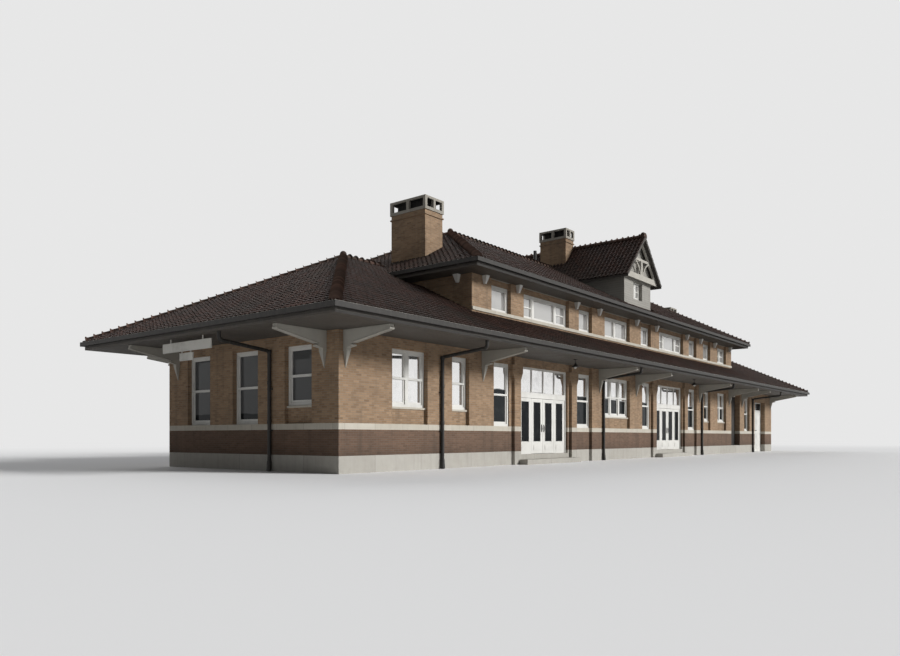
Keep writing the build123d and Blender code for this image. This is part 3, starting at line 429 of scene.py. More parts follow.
leaves = [f"{place}_leaf" for place in ("left_entry_left", "left_entry_right", "right_entry_left",
                                        "right_entry_right", "service_left", "service_right")]
nodePaint = (
    (buffBrick, ["front_wall", "rear_wall", "left_end_wall", "right_end_wall", "wall_head",
                 "upper_front_wall", "upper_rear_wall", "upper_end_walls", "chimney_shafts"]),
    (darkBrick, ["brick_wainscot"]),
    (limestone, ["belt_course", "upper_sill_band", "window_sills"]),
    (capStone, ["chimney_caps"]),
    (concrete, ["concrete_base", "entry_steps", "ground_floor"]),
    (hallFloor, ["upper_floor"]),
    (gableBoards, ["gable_walls"]),
    (bracketPaint, ["gable_trusses", "lower_brackets"]),
    (lowerSoffit, ["lower_soffit"]),
    (upperSoffit, ["upper_soffit"]),
    (ceilingPaint, ["upper_ceiling"]),
    (fasciaPaint, ["lower_roof_front", "lower_roof_rear", "lower_roof_left", "lower_roof_right",
                   "upper_roof", "cross_gable_roof"]),
    (rollTile, ["roof_finials"]),
    (gutterMetal, ["lower_gutter", "upper_gutter"]),
    (pipeMetal, ["rainwater_pipes", "roof_vent"]),
    (trimPaint, ["upper_blocks", "front_window_frames", "rear_window_frames", "end_window_frames",
                 "upper_window_frames", "entry_frames", "entry_sidelights", "rear_entry_leaves",
                 "service_frame", "rear_service_leaves", *leaves]),
    (darkPaint, ["pendant_lamps", "baggage_doors"]),
    (signPaint, ["sign_board"]),
    (windowGlass, ["ground_window_glass", "transom_glass"]),
    (upperGlass, ["upper_window_glass"]),
)
for material, painted in nodePaint:
    for node in painted:
        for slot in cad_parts[node].material_slots:
            slot.material = material
print("painted", sum(len(painted) for _, painted in nodePaint), "of", len(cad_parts), "nodes")


# Roof tiles
tile = {
    "pitch": 0.1048, "exposure": 0.130, "lap": 0.030,
    "across": (0, 0.05, 0.15, 0.28, 0.41, 0.51, 0.56, 0.78, 1.0),      # a tile's points, closer on its roll
    "rollShare": 0.56, "roll": 0.026, "dish": 0.003,
    "thick": 0.009, "overhang": 0.034,
    "head": 0.002, "foot": (1.7, 0.5),       # height of the head, and of the foot's two edges in thicknesses
    "closureBack": 0.010, "closureGap": 0.004,
    "shift": 0.0022, "lift": 0.0018,         # how far a laid tile strays
    "seed": 4,
}


class Slope:
    # A roof plane. a runs along its eave to the right as seen from outside, b up the slope and h off it.
    # Where a hip ends it, the eave's end moves in by its share of the run.
    def __init__(self, outward, pitch, corner, length, run, hips=(1, 1)):
        out = np.array((*outward, 0.0))
        self.lean = math.sqrt(1 + pitch ** 2)
        self.along = np.cross(-out, (0, 0, 1))
        self.up = (np.array((0, 0, pitch)) - out) / self.lean
        self.normal = np.cross(self.along, self.up)
        self.corner, self.length, self.reach = np.array(corner, float), length, run * self.lean
        self.hips = [share / self.lean for share in hips]

    def at(self, a, b, h):
        return self.corner + a[..., None] * self.along + b[..., None] * self.up + h[..., None] * self.normal

    def limits(self, b):
        return self.hips[0] * b, self.length - self.hips[1] * b


def layTiles(pile, slope, keep):
    # One grid per tile. Across it the roll is half an ellipse and the pan a shallow sine; along it the
    # height falls by one thickness, so that each foot lies on the tile below. Ends are held to the hips.
    k = tile
    draw = np.random.default_rng(k["seed"] + len(pile.points))
    share, across = k["rollShare"], np.array(k["across"])
    corners = len(across)
    hump = np.sqrt(np.clip(1 - (across * 2 / share - 1) ** 2, 0, 1))
    pan = np.sin(np.pi * np.clip((across - share) / (1 - share), 0, 1))
    wave = k["roll"] * hump - k["dish"] * pan
    rows = int(math.ceil((slope.reach + k["overhang"]) / k["exposure"]))
    columns = int(math.ceil(slope.length / k["pitch"]))
    row, column = [g.ravel() for g in np.meshgrid(np.arange(rows), np.arange(columns), indexing="ij")]
    foot = row * k["exposure"] - k["overhang"]
    middleA, middleB = (column + 0.5) * k["pitch"], foot + k["exposure"] / 2
    left, right = slope.limits(np.maximum(foot, 0))
    used = (middleA > left - k["pitch"] * 0.4) & (middleA < right + k["pitch"] * 0.4)
    used &= keep(slope.at(middleA, middleB, np.zeros(len(row))))
    row, column, foot = row[used], column[used], foot[used]
    many = len(row)
    strayA, strayH = draw.normal(0, k["shift"], many), draw.normal(0, k["lift"], many)
    a = (column[:, None] + across) * k["pitch"] + strayA[:, None]
    head = np.minimum(foot + k["exposure"] + k["lap"], slope.reach)
    foot = foot + draw.normal(0, k["shift"], many)
    b = np.stack([head, foot, foot + k["head"]], 1)
    top, under = [k["thick"] * part + np.abs(strayH) for part in k["foot"]]
    h = np.stack([np.full(many, k["head"]), top, under], 1)
    b, h = np.broadcast_to(b[:, :, None], (many, 3, corners)), h[:, :, None] + wave
    low, high = slope.limits(np.maximum(b, 0))
    a = np.clip(np.broadcast_to(a[:, None, :], (many, 3, corners)), low, high)
    quads = gridQuads(3, corners, many=many)[:, ::-1]
    pile.add(slope.at(a, b, h), quads, mark=np.repeat(draw.random(many), 3 * corners))

    # The lowest course is closed below its rolls, a little behind the tiles' feet
    first = row == 0
    a, h = a[first][:, 1], h[first][:, 1] - k["closureGap"]
    b = np.full(a.shape, k["closureBack"] - k["overhang"])
    closure = np.stack([slope.at(a, b, h), slope.at(a, b, np.full(a.shape, -k["closureGap"]))], 1)
    pile.add(closure, gridQuads(2, corners, many=len(a))[:, ::-1], mark=0.15)


# Ridge and hip rolls
roll = {
    "radius": 0.066, "exposure": 0.150, "turn": (-28, 208), "corners": 13,
    # Along each roll, in steps from its foot, and its radius there in shares of the radius
    "stations": (1.16, 0.12, 0.02, -0.02, 0.0), "swell": (0.74, 0.92, 1.26, 1.30, 0.86),
    "lift": 0.012, "gableLift": 0.010,       # above the roof's plane
    "hipBack": 0.030,                        # from the lower eaves' corner
}


def layRolls(pile, low, high):
    # Half-round caps along a hip or ridge from low to high. Each is a ring of points carried from a
    # narrow head to a wide foot that lies over the one below, so that the line shows its joints.
    low, high = np.array(low, float), np.array(high, float)
    whole = np.linalg.norm(high - low)
    along = (high - low) / whole
    side = np.cross(along, (0, 0, 1))
    side /= np.linalg.norm(side)
    up = np.cross(side, along)
    many = max(1, int(round(whole / roll["exposure"])))
    step = whole / many
    corners, stations = roll["corners"], np.array(roll["stations"])
    turn = np.radians(np.linspace(*roll["turn"], corners))
    ring = np.cos(turn)[:, None] * side + np.sin(turn)[:, None] * up
    t = (np.arange(many)[:, None] + stations) * step
    radius = roll["radius"] * np.array(roll["swell"])
    points = (low + t[..., None] * along)[:, :, None] + radius[:, None, None] * ring
    draw = np.random.default_rng(int(whole * 1000))
    pile.add(points, gridQuads(len(stations), corners, many=many),
             mark=np.repeat(draw.random(many), corners * len(stations)))
    # The lowest one is closed at its foot
    fan = np.arange(corners - 1)
    pile.add(np.concatenate([low[None], points[0, -1]]), mark=0.5,
             tris=np.stack([fan * 0, fan + 1, fan + 2], 1))


# How far tiles run past what hides them, so that no gap shows where roofs and walls meet
tuck = {"chimney": 0.06, "wall": 0.05, "roof": 0.03, "gable": 0.04, "belowEave": 0.25}


def layRoofs():
    b = building
    eaveX, eaveY = halfLength + b["lowerEave"], halfWidth + b["lowerEave"]
    topX0, topX1 = b["upperLeft"] - b["upperEave"], b["upperRight"] + b["upperEave"]
    topY = halfWidth + b["upperEave"]
    lower = (-eaveX, eaveX, eaveY, b["lowerTop"], b["lowerPitch"])
    upper = (topX0, topX1, topY, b["upperTop"], b["upperPitch"])
    chimneys = [(feet.min(0) + tuck["chimney"], feet.max(0) - tuck["chimney"]) for feet in chimneyFeet()]

    def heightOf(points, x0, x1, y1, z0, pitch):
        # Height of a hipped roof above a point: the eave's height and the pitch by the nearest eave
        reach = np.minimum(np.minimum(points[:, 0] - x0, x1 - points[:, 0]), y1 - np.abs(points[:, 1]))
        return np.where(reach > 0, z0 + reach * pitch, -1.0)

    def gableHeight(points):
        away = np.abs(points[:, 0] - b["gableX"])
        inside = (away < b["gableHalf"]) & (np.abs(points[:, 1]) < b["gableReach"])
        return np.where(inside, b["gableRidge"] - away * b["gablePitch"], -1.0)

    def clearOfChimneys(points):
        inside = [((points[:, :2] > low[:2]) & (points[:, :2] < high[:2])).all(1) for low, high in chimneys]
        return ~np.any(inside, axis=0)

    def keepLower(points):
        x, y, z = points.T
        inHouse = (x > b["upperLeft"] + tuck["wall"]) & (x < b["upperRight"] - tuck["wall"])
        inHouse &= np.abs(y) < halfWidth - tuck["wall"]
        over = heightOf(points, *upper)
        shows = (over < 0) | (z > over - tuck["roof"]) | (z < b["upperTop"] - tuck["belowEave"])
        return ~inHouse & shows & clearOfChimneys(points)

    def keepUpper(points):
        x, z = points[:, 0], points[:, 2]
        outside = (x < b["upperLeft"]) | (x > b["upperRight"])
        hidden = outside & (heightOf(points, *lower) > z + tuck["roof"])
        return ~hidden & (gableHeight(points) < z + tuck["gable"]) & clearOfChimneys(points)

    def keepGable(points):
        return points[:, 2] > heightOf(points, *upper) - tuck["gable"]

    def four(x0, x1, y, z, pitch):
        run, length, width = y, x1 - x0, 2 * y
        return {"front": Slope((0, -1), pitch, (x0, -y, z), length, run),
                "rear": Slope((0, 1), pitch, (x1, y, z), length, run),
                "left": Slope((-1, 0), pitch, (x0, y, z), width, run),
                "right": Slope((1, 0), pitch, (x1, -y, z), width, run)}

    pieces = []
    for name, roof, keep in (("lower", lower, keepLower), ("upper", upper, keepUpper)):
        slopes = four(*roof)
        for group in (("front",), ("rear",), ("left", "right")):
            pile = Pile()
            for side in group:
                layTiles(pile, slopes[side], keep)
            pieces.append(pile.build(f"{name}_{group[0]}_tiles", clayTile, smooth=True, sharp=50))
    gx, half, reachY = b["gableX"], b["gableHalf"], b["gableReach"]
    eaveZ = b["gableRidge"] - half * b["gablePitch"]
    pile = Pile()
    for out in (-1, 1):
        corner = (gx + out * half, -out * reachY, eaveZ)
        layTiles(pile, Slope((out, 0), b["gablePitch"], corner, 2 * reachY, half, (0, 0)), keepGable)
    pieces.append(pile.build("gable_tiles", clayTile, smooth=True, sharp=50))

    pile = Pile()
    lift, back = roll["lift"], roll["hipBack"]
    lowRidge, topRidge = b["lowerTop"] + eaveY * b["lowerPitch"], b["upperTop"] + topY * b["upperPitch"]
    for x, inward, topX in ((-eaveX, 1, topX0), (eaveX, -1, topX1)):
        peak = (x + inward * eaveY, 0, lowRidge + lift)
        for way in (-1, 1):
            foot = (x + inward * back, way * (eaveY - back), b["lowerTop"] + lift + back * b["lowerPitch"])
            layRolls(pile, foot, peak)
        meet = topX + inward * (lowRidge - b["upperTop"]) / b["upperPitch"]
        layRolls(pile, peak, (meet, 0, lowRidge + lift))
        topPeak = (topX + inward * topY, 0, topRidge + lift)
        for y in (-topY, topY):
            layRolls(pile, (topX, y, b["upperTop"] + lift), topPeak)
        stop = gx - inward * (b["gableRidge"] - topRidge) / b["gablePitch"]
        layRolls(pile, topPeak, (stop, 0, topRidge + lift))
    gableTop = b["gableRidge"] + roll["gableLift"]
    layRolls(pile, (gx, -reachY, gableTop), (gx, reachY, gableTop))
    pieces.append(pile.build("ridge_and_hip_rolls", rollTile, smooth=True, sharp=50))
    print("roofs tiled,", sum(len(piece.data.polygons) for piece in pieces) * 2, "triangles")


def chimneyFeet():
    # The three shafts' corners in plan, from the corners of the CAD node
    points = np.array([v.co[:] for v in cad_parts["chimney_shafts"].data.vertices])
    points = points[np.argsort(points[:, 0])]
    breaks = np.where(np.diff(points[:, 0]) > 1.0)[0] + 1
    return np.split(points, breaks)


layRoofs()


# Where things stand, read from the solids
def solidsOf(node, apart=0.0004):
    # The low and high corners of each separate solid of a CAD node. Corners that fall together are one,
    # and the lowest number that meets along the triangles names each solid.
    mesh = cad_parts[node].data
    points = np.zeros(len(mesh.vertices) * 3)
    mesh.vertices.foreach_get("co", points)
    points = points.reshape(-1, 3)
    mesh.calc_loop_triangles()
    corners = np.zeros(len(mesh.loop_triangles) * 3, dtype=np.int64)
    mesh.loop_triangles.foreach_get("vertices", corners)
    _, same = np.unique(np.round(points / apart).astype(np.int64), axis=0, return_inverse=True)
    triangles = same.ravel()[corners].reshape(-1, 3)
    names = np.arange(triangles.max() + 1)
    while True:
        lowest = names[triangles].min(axis=1)
        fresh = names.copy()
        for corner in range(3):
            np.minimum.at(fresh, triangles[:, corner], lowest)
        fresh = fresh[fresh]
        if np.array_equal(fresh, names):
            break
        names = fresh
    owner = names[same.ravel()]
    return [(points[owner == name].min(0), points[owner == name].max(0)) for name in np.unique(owner)]


def sideOf(low, high):
    # The side of the building that a flat piece faces, by its thin axis
    thin = 0 if high[0] - low[0] < high[1] - low[1] else 1
    if thin == 0:
        return rightEnd if low[0] > 0 else leftEnd
    return rear if low[1] > 0 else front


def spanOn(side, low, high):
    # A box as its span along a side, its levels and its depth behind the wall's face
    along = np.sort([(low - side.corner) @ side.along, (high - side.corner) @ side.along])
    depth = np.sort([-(low - side.corner) @ side.outward, -(high - side.corner) @ side.outward])
    return along, (low[2], high[2]), depth


def ringOf(s, z, widths, lapped=False):
    # The four strips of a frame, each as its span along and its levels; widths at left, right, foot and
    # head. Lapped, the foot and the head run on over the sides.
    left, right, foot, head = widths
    inner = (s[0] + left, s[1] - right)
    between = s if lapped else inner
    return [((s[0], inner[0]), z), ((inner[1], s[1]), z),
            (between, (z[0], z[0] + foot)), (between, (z[1] - head, z[1]))]


# Window sashes
sash = {
    "stile": 0.026, "meeting": 0.030, "bottom": 0.040,
    "upperProud": 0.020, "lowerProud": 0.008,      # in front of the glass
    "bead": 0.006,
    "bar": 0.022, "barSetback": 0.004,             # across the narrow, tall upper windows
    "barWidest": 0.45, "barLowest": 0.30,
}


def makeSashes():
    pile = Pile()
    stile = sash["stile"]
    for low, high in solidsOf("ground_window_glass"):
        side = sideOf(low, high)
        s, z, (glass, _) = spanOn(side, low, high)
        meeting = (z[0] + z[1] - sash["meeting"]) / 2
        for levels, proud, widths in (
                ((meeting, z[1]), sash["upperProud"], (stile, stile, sash["meeting"], stile)),
                ((z[0], meeting), sash["lowerProud"], (stile, stile, sash["bottom"], sash["bead"]))):
            for strip in ringOf(s, levels, widths):
                side.box(pile, *strip, (glass - proud, glass))
    for low, high in solidsOf("upper_window_glass"):
        side = sideOf(low, high)
        s, z, (glass, _) = spanOn(side, low, high)
        for strip in ringOf(s, z, (stile,) * 4):
            side.box(pile, *strip, (glass - sash["upperProud"], glass))
        if s[1] - s[0] < sash["barWidest"] and z[1] - z[0] > sash["barLowest"]:
            foot = (z[0] + z[1] - sash["bar"]) / 2
            side.box(pile, (s[0] + stile, s[1] - stile), (foot, foot + sash["bar"]),
                     (glass - sash["upperProud"] + sash["barSetback"], glass))
    pile.build("window_sashes", trimPaint)


makeSashes()
print("sashes made")


# Entry doors: what rides on each leaf, and the same on the fixed sidelights
entryLeaf = {
    "thick": 0.026,
    "stile": 0.074, "topRail": 0.062, "glassFoot": 0.428, "recess": 0.009,
    "glassProud": 0.0025, "bead": 0.010, "beadProud": 0.003,
    "panelInset": 0.060, "panelHead": 0.048, "panelProud": 0.004, "fieldInset": 0.018,
    "handleHeight": 0.700, "handleInset": 0.040,
    "plate": (0.032, 0.150, 0.003), "grip": 0.017, "gripBar": 0.004, "gripSpan": 0.108,
}


def faceOf(node, y=None):
    # The rectangle of a door leaf's front face, at y or foremost: its span in x, its levels and its y
    points = np.array([v.co[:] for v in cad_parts[node].data.vertices])
    y = points[:, 1].min() if y is None else y
    face = points[np.abs(points[:, 1] - y) < 1e-4]
    return (face[:, 0].min(), face[:, 0].max()), (face[:, 2].min(), face[:, 2].max()), y


def dressLeaf(glassPile, trimPile, x, z, y, inward):
    # Glass in the recess, a bead round it and a raised bottom panel, on the face at y
    e = entryLeaf
    x, z = (x[0] + e["stile"], x[1] - e["stile"]), (z[0] + e["panelInset"], z[1] - e["topRail"])
    glass, pane = y + inward * (e["recess"] - e["glassProud"]), (e["glassFoot"], z[1])
    boxInto(glassPile, x, (glass, y + inward * e["recess"]), pane)
    for strip, levels in ringOf(x, pane, (e["bead"],) * 4, lapped=True):
        boxInto(trimPile, strip, (y - inward * e["beadProud"], glass), levels)
    panel, proud, inset = (z[0], e["glassFoot"] - e["panelHead"]), inward * e["panelProud"], e["fieldInset"]
    boxInto(trimPile, x, (y - proud, y), panel)
    boxInto(trimPile, (x[0] + inset, x[1] - inset), (y - proud * 2, y - proud),
            (panel[0] + inset, panel[1] - inset))


def handleInto(pile, x, y, inward):
    # A plate with a pull: half a ring of round bar standing off the stile
    e = entryLeaf
    wide, tall, thick = e["plate"]
    z = e["handleHeight"]
    boxInto(pile, (x - wide / 2, x + wide / 2), (y - inward * thick, y), (z - tall / 2, z + tall / 2))
    turn = np.linspace(0, math.pi, 9)
    out, up = thick + e["grip"] * np.sin(turn), e["gripSpan"] / 2 * np.cos(turn)
    pipeInto(pile, np.stack([np.full(9, x), y - inward * out, z - up], 1), e["gripBar"], 6)


def pipeInto(pile, path, radius, sides=12):
    # A round bar along a path: at each point a ring square to the path, its radius a number or one per
    # point, and a fan over each end
    path = np.asarray(path, float)
    ahead = np.gradient(path, axis=0)
    ahead /= np.linalg.norm(ahead, axis=1, keepdims=True)
    spare = np.where(np.abs(ahead[:, 2:3]) > 0.9, (1.0, 0, 0), (0, 0, 1.0))
    across = np.cross(ahead, spare)
    for i in range(1, len(across)):      # keeps the ring from turning about the path
        across[i] = across[i - 1] - ahead[i] * (across[i - 1] @ ahead[i])
    across /= np.linalg.norm(across, axis=1, keepdims=True)
    other = np.cross(ahead, across)
    turn = np.linspace(0, 2 * math.pi, sides, endpoint=False)
    size = np.broadcast_to(np.asarray(radius, float), (len(path),))[:, None, None]
    ring = np.cos(turn)[None, :, None] * across[:, None] + np.sin(turn)[None, :, None] * other[:, None]
    points = np.concatenate([(path[:, None] + size * ring).reshape(-1, 3), path[:1], path[-1:]])
    near, last = np.arange(sides), np.arange(sides) + sides * (len(path) - 1)
    start = np.full(sides, sides * len(path))
    tris = np.concatenate([np.stack([start, np.roll(near, -1), near], 1),
                           np.stack([start + 1, last, np.roll(last, -1)], 1)])
    pile.add(points, gridQuads(len(path), sides, closed=True), tris)


def dressDoors():
    e = entryLeaf
    fixedGlass, fixedTrim, rearMetal = Pile(), Pile(), Pile()
    for node in [leaf for leaf in leaves if "entry" in leaf]:
        x, z, y = faceOf(node)
        glass, trim, metal = Pile(), Pile(), Pile()
        for face, inward in ((y, 1.0), (y + e["thick"], -1.0)):
            dressLeaf(glass, trim, x, z, face, inward)
            dressLeaf(fixedGlass, fixedTrim, x, z, -face, -inward)
        meeting = x[1] - e["handleInset"] if node.endswith("left_leaf") else x[0] + e["handleInset"]
        handleInto(metal, meeting, y, 1.0)
        handleInto(rearMetal, meeting, -y, -1.0)
        for pile, name, material, slot in ((glass, "glass", doorGlass, "window_glass"),
                                           (trim, "beads", trimPaint, "white_trim"),
                                           (metal, "handle", pipeMetal, "pipe_metal")):
            pile.build(f"{node}_{name}", material, node + "_body")
    for low, high in solidsOf("entry_sidelights"):
        y, inward = (low[1], 1.0) if sideOf(low, high) is front else (high[1], -1.0)
        for face, way in ((y, inward), (y + inward * e["thick"], -inward)):
            dressLeaf(fixedGlass, fixedTrim, (low[0], high[0]), (low[2], high[2]), face, way)
    fixedGlass.build("fixed_leaf_glass", doorGlass)
    fixedTrim.build("fixed_leaf_beads", trimPaint)
    rearMetal.build("rear_door_handles", pipeMetal)


dressDoors()
print("doors dressed")


# Service and baggage doors: boarded panels in bead frames, a glazed light over the service doors
boarded = {
    "bead": 0.014, "proud": 0.0035, "board": 0.060, "joint": 0.0016, "boardEnd": 0.0028,
    "margin": 0.070, "footMargin": 0.112, "panelGap": 0.0467, "baggagePanels": 3,
    "reveal": 0.150, "lockRail": 0.720,
    "light": (1.480, 1.722), "lightMargin": 0.055, "lightProud": 0.002, "lightBeadProud": 0.006,
    "knobHeight": 0.760, "knob": 0.016,
    # Out from the door's face, and the radius there in shares of the knob's
    "knobReach": (0.0, 0.006, 0.016, 0.024, 0.030), "knobSwell": (1.15, 0.45, 0.45, 1.0, 0.55),
}


def panelInto(pile, x, z, y, out):
    # A bead frame and inside it upright boards with fine joints, all standing off the face at y towards out
    k = boarded
    for strip, levels in ringOf(x, z, (k["bead"],) * 4):
        boxInto(pile, strip, (y, y + out * k["proud"] * 2), levels)
    inside = (x[0] + k["bead"], x[1] - k["bead"])
    end = k["bead"] + k["boardEnd"]
    cuts = np.linspace(*inside, max(2, int(round((inside[1] - inside[0]) / k["board"])) + 1))
    for left, right in zip(cuts, cuts[1:]):
        boxInto(pile, (left + k["joint"] / 2, right - k["joint"] / 2), (y, y + out * k["proud"]),
                (z[0] + end, z[1] - end))


def dressService():
    k = boarded
    face, bead = -halfWidth + k["reveal"], k["bead"]
    rearBoards, rearMetal, lights, lightBeads, baggage = Pile(), Pile(), Pile(), Pile(), Pile()
    for hand in ("left", "right"):
        node = f"service_{hand}_leaf"
        (x0, x1), (z0, z1), _ = faceOf(node, face)
        boards, metal = Pile(), Pile()
        for levels in ((z0 + k["footMargin"], k["lockRail"] - k["margin"] / 2),
                       (k["lockRail"] + k["margin"] / 2, z1 - k["margin"])):
            for pile, y, out in ((boards, face, -1.0), (rearBoards, -face, 1.0)):
                panelInto(pile, (x0 + k["margin"], x1 - k["margin"]), levels, y, out)
        knobX = x1 - k["margin"] / 2 if hand == "left" else x0 + k["margin"] / 2
        reach, swell = np.array(k["knobReach"]), np.array(k["knobSwell"])
        for pile, way in ((metal, 1.0), (rearMetal, -1.0)):
            path = np.stack([reach * 0 + knobX, way * (face - reach), reach * 0 + k["knobHeight"]], 1)
            pipeInto(pile, path, k["knob"] * swell, 14)
        boards.build(f"{node}_boards", trimPaint, node + "_body")
        metal.build(f"{node}_knob", pipeMetal, node + "_body", smooth=True)
    for low, high in solidsOf("service_frame"):
        y, out = (low[1], -1.0) if sideOf(low, high) is front else (high[1], 1.0)
        x, z = (low[0] + k["lightMargin"], high[0] - k["lightMargin"]), k["light"]
        boxInto(lights, x, (y, y + out * k["lightProud"]), z)
        proud = (y, y + out * k["lightBeadProud"])
        for left in (x[0] - bead, x[1], (x[0] + x[1] - bead) / 2):
            boxInto(lightBeads, (left, left + bead), proud, z)
        for foot in (z[0] - bead, z[1]):
            boxInto(lightBeads, (x[0] - bead, x[1] + bead), proud, (foot, foot + bead))
    for low, high in solidsOf("baggage_doors"):
        y, out = (low[1], -1.0) if low[1] + high[1] < 0 else (high[1], 1.0)
        cuts = np.linspace(low[2] + k["margin"], high[2] - k["margin"], k["baggagePanels"] + 1)
        for foot, head in zip(cuts, cuts[1:]):
            panelInto(baggage, (low[0] + k["margin"], high[0] - k["margin"]),
                      (foot + k["panelGap"] / 2, head - k["panelGap"] / 2), y, out)
    rearBoards.build("rear_service_boards", trimPaint)
    rearMetal.build("rear_service_knobs", pipeMetal, smooth=True)
    lights.build("service_lights", doorGlass)
    lightBeads.build("service_light_beads", trimPaint)
    baggage.build("baggage_door_boards", darkPaint)


dressService()
print("service and baggage doors dressed")


# Gutters: a rolled lip along the outer edge, pale as a painted highlight along it, and straps across the top
gutterTrim = {
    "lip": 0.0095, "lipDrop": 0.005225,      # its radius, and its middle below the gutter's edge
    "strapEvery": 0.42, "strap": (0.014, 0.003), "strapProud": 0.0009,
}


def makeGutterTrim():
    g = gutterTrim
    wide, thick = g["strap"]
    lips, straps = Pile(), Pile()
    for low, high in solidsOf("lower_gutter") + solidsOf("upper_gutter"):
        run = 0 if high[0] - low[0] > high[1] - low[1] else 1      # the axis that it runs along
        away = 1 - run
        out = np.sign(low[away] + high[away])
        path = np.linspace(low, high, 3)
        path[:, away] = (low if out < 0 else high)[away] - out * g["lip"]
        path[:, 2] = high[2] - g["lipDrop"]
        pipeInto(lips, path, g["lip"], 8)
        length = high[run] - low[run]
        many = max(2, int(length / g["strapEvery"]))
        spans = [(low[0], high[0]), (low[1], high[1]), (high[2] - thick, high[2] + g["strapProud"])]
        for spot in low[run] + length * (np.arange(many) + 0.5) / many:
            spans[run] = (spot - wide / 2, spot + wide / 2)
            boxInto(straps, *spans)
    lips.build("gutter_lips", lipHighlightMetal, smooth=True, sharp=50)
    straps.build("gutter_straps", gutterMetal)


makeGutterTrim()
print("gutters trimmed")


# Rainwater pipes: sockets, wall straps with their ears and a shoe at the foot, on the place of each CAD pipe
pipeTrim = {
    "radius": 0.028, "widest": 0.3,          # no pipe is wider along its wall; its reach from it is more
    "sockets": (0.730, 1.330, 1.800), "socket": (0.0345, 0.055),      # levels, then radius and height
    "socketSteps": (0, 0.12, 0.5, 0.88, 1), "socketSwell": (0.90, 1, 0.97, 1, 0.90),
    "straps": (0.62, 1.25), "strapHeight": 0.016, "strapProud": 0.003,
    "ear": 0.012, "earBack": 0.006,
    "shoe": (0.038, 0.150), "shoeLift": 0.005, "shoeKick": 0.010, "shoeTaper": 0.12,
}


def dressPipes():
    p = pipeTrim
    pile = Pile()
    steps, swell = np.array(p["socketSteps"]), np.array(p["socketSwell"])
    kick = np.linspace(0, 1, 6)
    for low, high in solidsOf("rainwater_pipes"):
        away = 1 if high[0] - low[0] < p["widest"] else 0      # the axis that leads out from its wall
        along = 1 - away
        face = -1.0 if low[away] < 0 else 1.0
        place = np.zeros(3)
        place[along] = (low[along] + high[along]) / 2
        place[away] = face * (min(abs(low[away]), abs(high[away])) + p["radius"])
        radius, height = p["socket"]
        for z in p["sockets"]:
            pipeInto(pile, place + np.outer(z + steps * height, (0, 0, 1)), swell * radius, 16)
        for z in p["straps"]:
            levels = (z, z + p["strapHeight"])
            pipeInto(pile, place + np.outer(levels, (0, 0, 1)), p["radius"] + p["strapProud"], 16)
            for way in (-1, 1):
                spot = place[along] + way * (p["radius"] + p["ear"])
                spans = [None, None, levels]
                spans[along] = (spot - p["ear"], spot + p["ear"])
                spans[away] = (place[away], place[away] - face * (p["radius"] + p["earBack"]))
                boxInto(pile, *spans)
        radius, height = p["shoe"]
        path = place + np.outer(low[2] + p["shoeLift"] + kick * height, (0, 0, 1))
        path[:, away] += face * p["shoeKick"] * (1 - kick) ** 2
        pipeInto(pile, path, radius * (1 - p["shoeTaper"] * kick), 16)
    pile.build("pipe_sockets_and_straps", pipeMetal, smooth=True, sharp=40)


dressPipes()
print("pipes dressed")


# Dark linings behind the openings of the chimney caps, a core and a plate at the opening's foot and head:
# partly real soot, partly painted shade for the dark inside of the caps
chimneyTrim = {
    "core": 0.108, "plate": 0.030, "plateHalf": 0.002,
    "opening": (0.202, 0.044),               # its foot and head below the cap's top
}
# Real soot, and painted shade where the inside of each cap lies in shade
sootAndShade = makeMetal("sootAndShade", (0.018, 0.017, 0.016), (0.05, 0.047, 0.042), roughness=0.9)


def lineChimneys():
    c = chimneyTrim
    half = c["plateHalf"]
    pile = Pile()
    for low, high in solidsOf("chimney_caps"):
        foot, head = [high[2] - drop for drop in c["opening"]]
        for inset, levels in ((c["core"], (foot, head)), (c["plate"], (foot - half, foot + half)),
                              (c["plate"], (head - half, head + half))):
            boxInto(pile, (low[0] + inset, high[0] - inset), (low[1] + inset, high[1] - inset), levels)
    pile.build("chimney_linings", sootAndShade)


lineChimneys()
print("chimneys lined")


# Brackets: a bead along both sides of the lower edge, a roll at its nose and heel, and a raised field on
# each cheek that follows the edge
bracketTrim = {
    "reach": 0.893, "nose": 0.062,                      # the nose from the wall, and below the ceiling
    "heel": (0.130, 1.846), "scroll": (0.176, 1.820),   # from the wall, and above the ground
    "half": 0.042,                                      # half its thickness
    "bead": 0.009, "beadSunk": 0.0018, "beadEnds": (0.03, 0.02),
    "roll": 0.017, "rollOffset": (-0.0068, 0.0102), "scrollRoll": 0.01445, "rollProud": 0.006,
    "fieldInset": 0.036, "fieldEnds": (0.05, 0.09), "fieldTop": 0.0126, "fieldProud": 0.004,
    "root": 0.030, "plate": 1.900,                      # the field's inner side, and its corner over the heel
}


